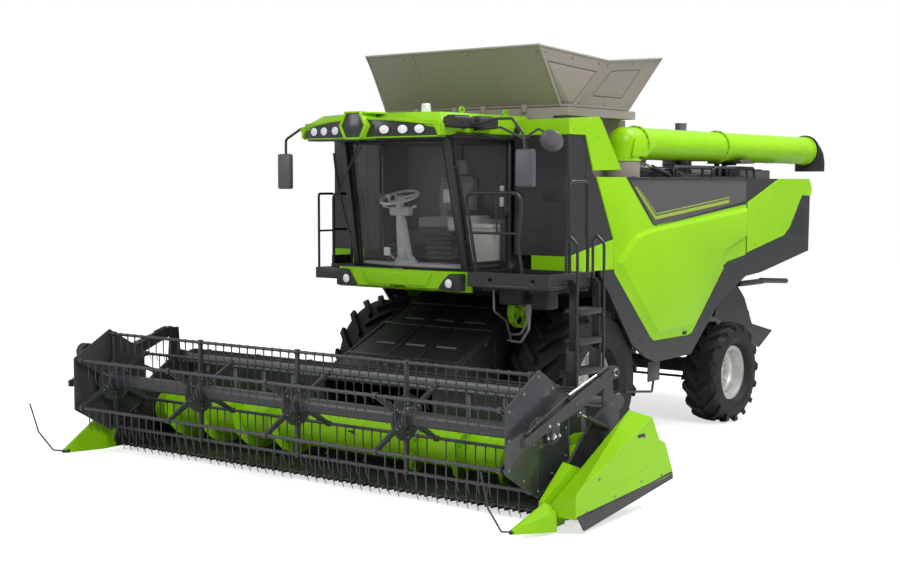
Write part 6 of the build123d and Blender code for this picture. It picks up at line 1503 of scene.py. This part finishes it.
def makeReel():
    # centre tube, five spoked discs and the six-sided end shields
    bm, steel = bmesh.new(), bmesh.new()
    y, z = reel["y"], reel["z"]
    bar(bm, (-2.85, y, z), (2.85, y, z), reel["tube"], sides=48)
    bar(bm, (-3.004, y, z), (3.004, y, z), 0.030, sides=32)
    for x in spiders:
        turned(bm, [(-0.004, 0.071), (-0.004, 0.204), (-0.010, 0.210), (-0.010, 0.216), (0.010, 0.216),
                (0.010, 0.210), (0.004, 0.204),
                    (0.004, 0.071)], (x, y, z), (1, 0, 0), 72)
        turned(bm, [(-0.030, 0.071), (-0.030, 0.088), (-0.012, 0.100), (0.012, 0.100), (0.030, 0.088),
                (0.030, 0.071)], (x, y, z), (1, 0, 0), 48)
        for k in range(6):
            a = math.radians(90 + 60 * k)
            d, n = Vector((0, math.cos(a), math.sin(a))), Vector((0, -math.sin(a), math.cos(a)))
            hub = Vector((0, y, z))
            outline = [hub + d * 0.085 + n * 0.034, hub + d * 0.480 + n * 0.020, hub + d * 0.480 - n * 0.020,
                    hub + d * 0.085 - n * 0.034]
            plate(bm, [(p.y, p.z) for p in outline], "x", x - 0.016, x + 0.016, 0.004)
            tip = hub + d * reel["bar"]
            turned(bm, [(-0.022, 0.0165), (-0.022, 0.029), (0.022, 0.029), (0.022, 0.0165)], (x, tip.y, tip.z),
                    (1, 0, 0), 28)
            for r in (0.13, 0.18):
                for way in (1, -1):
                    bolt(steel, Vector((x + way * 0.016, 0, 0)) + hub + d * r, (way, 0, 0), 0.008)
    for way in (1, -1):
        x = way * 2.838
        corners = [(y + 0.548 * math.cos(math.radians(90 + 60 * k)),
                z + 0.548 * math.sin(math.radians(90 + 60 * k))) for k in range(6)]
        plate(bm, corners, "x", way * 2.8345, way * 2.8415, 0.002)
        for k in range(6):
            a, b = Vector((x, *corners[k])), Vector((x, *corners[(k + 1) % 6]))
            bar(bm, a, b, 0.008, sides=10)
            middle = a.lerp(b, 0.5)
            for spot, share in ((a, 0.90), (middle, 0.90)):
                bolt(steel, (x + way * 0.004, y + (spot.y - y) * share, z + (spot.z - z) * share), (way, 0, 0), 0.009)
            bar(bm, (x, y + (a.y - y) * 0.20, z + (a.z - z) * 0.20), (x, y + (a.y - y) * 0.93, z + (a.z - z) * 0.93),
                    0.006, sides=10)
        turned(bm, [(-0.004, 0.029), (-0.004, 0.150), (0.008, 0.146), (0.010, 0.029)], (x, y, z), (way, 0, 0), 48)
        boltRing(steel, (x + way * 0.008, y, z), 0.11, 6, (way, 0, 0), 0.010)
    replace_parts(settle("reel_spider", bm, "reel", reelDark), "reel_frame")
    settle("reel_bolts", steel, "reel", wornSteel)
    # spring fingers: a clip round the bar, a straight shank and a tip swept back
    for k in range(6):
        a = math.radians(90 + 60 * k)
        cy, cz = y + reel["bar"] * math.cos(a), z + reel["bar"] * math.sin(a)
        bm = bmesh.new()
        bar(bm, (-2.82, cy, cz), (2.82, cy, cz), 0.016, sides=24)
        for left in spiders[:-1]:
            for i in range(11):
                x = left + 0.69 + (i - 5) * 0.115
                bar(bm, (x - 0.011, cy, cz), (x + 0.011, cy, cz), 0.0192, sides=12)
                bar(bm, (x, cy, cz - 0.014), (x, cy - 0.001, cz - 0.14), 0.0072, 0.0062, 8)
                bar(bm, (x, cy - 0.001, cz - 0.138), (x, cy + 0.007, cz - 0.20), 0.0062, 0.0048, 8)
                bar(bm, (x, cy + 0.0065, cz - 0.198), (x, cy + 0.030, cz - 0.249), 0.0048, 0.0030, 8)
        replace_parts(settle("tines_%d" % (k + 1), bm, "tine_bar_%d" % (k + 1), reelDark),
                "tine_bar_%d" % (k + 1))


makeReel()


def makeReelArmDress():
    steel, dark = bmesh.new(), bmesh.new()
    for way in (1, -1):
        x = way * 2.962
        bar(steel, (x, -3.42, 1.262), (x, -3.92, 1.118), 0.013, sides=16)
        bar(dark, (x, -3.30, 1.298), (x, -3.46, 1.252), 0.022, sides=20)
        bar(dark, (x, -3.90, 1.124), (x, -4.56, 0.864), 0.012, sides=14)
        for py, pz in ((-3.34, 1.266), (-3.92, 1.096), (-4.52, 0.86)):
            block(dark, (x - 0.02, py - 0.02, pz - 0.02), (x + 0.02, py + 0.02, pz + 0.03), 0.005)
        outX = way * 3.000
        bolt(steel, (outX, -3.21, 1.25), (way, 0, 0), 0.024)
        bolt(steel, (outX, -4.198, 0.805), (way, 0, 0), 0.020)
        for py, pz in ((-4.13, 0.90), (-4.26, 0.90), (-4.11, 0.80), (-4.28, 0.80)):
            bolt(steel, (outX, py, pz), (way, 0, 0), 0.010)
        turned(dark, [(-0.002, 0.034), (-0.002, 0.062), (0.012, 0.060), (0.014, 0.034)], (outX, -4.198, 0.805),
                (way, 0, 0), 40)
        block(dark, (way * 2.985 - 0.018, -4.634, 0.762), (way * 2.985 + 0.018, -4.612, 0.828), 0.004)
    # far-side drive guard: lid seam and bolts
    x = -3.097
    for py, pz in ((-4.10, 0.72), (-4.30, 0.72), (-4.34, 0.90), (-4.06, 0.90), (-4.28, 1.11), (-4.42, 1.11),
            (-4.20, 1.02)):
        bolt(steel, (x, py, pz), (-1, 0, 0), 0.009)
    turned(dark, [(0.0, 0.115), (0.0, 0.128), (0.008, 0.126), (0.008, 0.117)], (-3.098, -4.198, 0.805), (1, 0, 0), 56)
    settle("arm_rods", steel, "reel_arms", rodSteel)
    settle("arm_fittings", dark, "reel_arms", mouldedBlack)


makeReelArmDress()


def makeDividerDress():
    dark, lime, steel = bmesh.new(), bmesh.new(), bmesh.new()
    # drive cover: rolled upper edge, pressed crease, fasteners and lower dark strip
    def on(y, share):
        rows = [(-4.312, 0.150, 0.350), (-3.082, 0.250, 0.860), (-2.940, 0.262, 0.640), (-2.830, 0.270, 0.590),
                (-2.690, 0.290, 0.310)]
        for (ya, la, ha), (yb, lb, hb) in zip(rows, rows[1:]):
            if ya <= y <= yb:
                t = (y - ya) / (yb - ya)
                low, high = la + (lb - la) * t, ha + (hb - ha) * t
                return low + (high - low) * share
        return 0.3
    bar(lime, (3.298, -4.25, on(-4.25, 0.30)), (3.298, -3.082, on(-3.082, 0.30)), 0.007, sides=10)
    bar(lime, (3.292, -4.305, on(-4.305, 0.985)), (3.292, -3.085, on(-3.085, 0.985)), 0.010, sides=10)
    bar(lime, (3.292, -3.080, 0.852), (3.292, -2.945, 0.640), 0.010, sides=10)
    for y in (-4.15, -3.7, -3.25, -2.9):
        bolt(steel, (3.299, y, on(y, 0.12)), (1, 0, 0), 0.009)
    for y in (-3.95, -3.2):
        bolt(steel, (3.299, y, on(y, 0.8)), (1, 0, 0), 0.011)
    block(dark, (3.290, -3.32, 0.70), (3.304, -3.20, 0.73), 0.004)
    plate(dark, [(-4.30, 0.150), (-3.082, 0.252), (-2.70, 0.292), (-2.72, 0.312), (-3.082, 0.268), (-4.30, 0.172)],
            "x", 3.293, 3.3035, 0.003)
    # nose bands where the point slides on, and the seam of the wing
    for centre in (2.95, -2.95):
        bar(dark, (centre, -4.68, 0.077), (centre, -4.755, 0.077), 0.026, 0.018, 16)
    turned(dark, [(-0.004, 0.01), (-0.004, 0.03), (0.006, 0.03), (0.006, 0.01)], (2.95, -4.62, 0.09), (0, 1, 0), 20)
    for y, z in ((-4.25, 0.12), (-4.0, 0.30), (-3.7, 0.30)):
        bolt(steel, (3.036, y, z), (1, 0, 0), 0.009)
    for y, z in ((-4.10, 0.30), (-3.85, 0.42), (-3.6, 0.30), (-4.2, 0.12)):
        bolt(steel, (-3.006, y, z), (-1, 0, 0), 0.009)
    settle("cover_dark_strip", dark, "header", mouldedBlack)
    settle("cover_edges", lime, "header", limePaint)
    settle("cover_fasteners", steel, "header", wornSteel)


makeDividerDress()


# axles and hitch
def makeChassisDress():
    steel, dark = bmesh.new(), bmesh.new()
    for way in (1, -1):
        for y, z in ((-1.10, 0.81), (-1.30, 0.81)):
            bar(dark, (way * 0.30, y, z + 0.17), (way * 0.86, y, z + 0.17), 0.014, sides=12)
        block(dark, (min(way * 0.80, way * 0.88), -1.34, 0.66), (max(way * 0.80, way * 0.88), -1.06, 0.98), 0.02, 3)
        boltRing(steel, (way * 0.882, -1.2, 0.81), 0.115, 10, (way, 0, 0), 0.011)
        tubeRun(dark, cornered([(way * 0.62, -0.95, 1.25), (way * 0.62, -0.2, 1.22), (way * 0.62, 1.0, 1.22),
                (way * 0.62, 1.7, 1.05)], 0.08), 0.014)
        tubeRun(dark, cornered([(way * 0.66, -0.95, 1.19), (way * 0.66, -0.2, 1.16), (way * 0.66, 1.0, 1.16),
                (way * 0.66, 1.7, 0.99)], 0.08), 0.012)
    bar(dark, (-0.55, 1.62, 0.72), (0.55, 1.62, 0.72), 0.018, sides=16)
    settle("axle_fittings", dark, "chassis", frameDark)
    settle("axle_bolts", steel, "chassis", wornSteel)


makeChassisDress()
print("stage: wheels, header and reel")

# tail bars, foot step and the right end of the deck
def makeSmallSteel():
    bm = bmesh.new()
    for way in (1, -1):
        tubeRun(bm, cornered([(way * 1.46, 2.83, 1.70), (way * 1.46, 3.58, 1.655)], 0.05), 0.036)
        block(bm, (way * 1.42, 2.20, 1.655), (way * 1.50, 2.86, 1.72), 0.012)
        block(bm, (way * 1.585, -0.234, 0.72), (way * 1.600, 0.026, 0.95), 0.006)
        tubeRun(bm, cornered([(way * 1.58, -0.081, 0.74), (way * 1.58, -0.116, 0.60), (way * 1.58, -0.70, 0.667)],
                0.05), 0.014)
    block(bm, (-1.30, -2.56, 1.90), (-0.92, -2.29, 2.02), 0.010)
    for y in (-2.50, -2.35):
        bar(bm, (-1.296, y, 1.96), (-1.304, y, 1.96), 0.022, sides=24)
    tubeRun(bm, cornered([(-1.27, -2.30, 2.83), (-1.27, -2.53, 2.83), (-1.27, -2.53, 2.02)], 0.05), 0.014)
    bar(bm, (-1.27, -2.53, 2.42), (-1.27, -2.30, 2.42), 0.011, sides=16)
    settle("small_steel", bm, "chassis", frameDark)


makeSmallSteel()
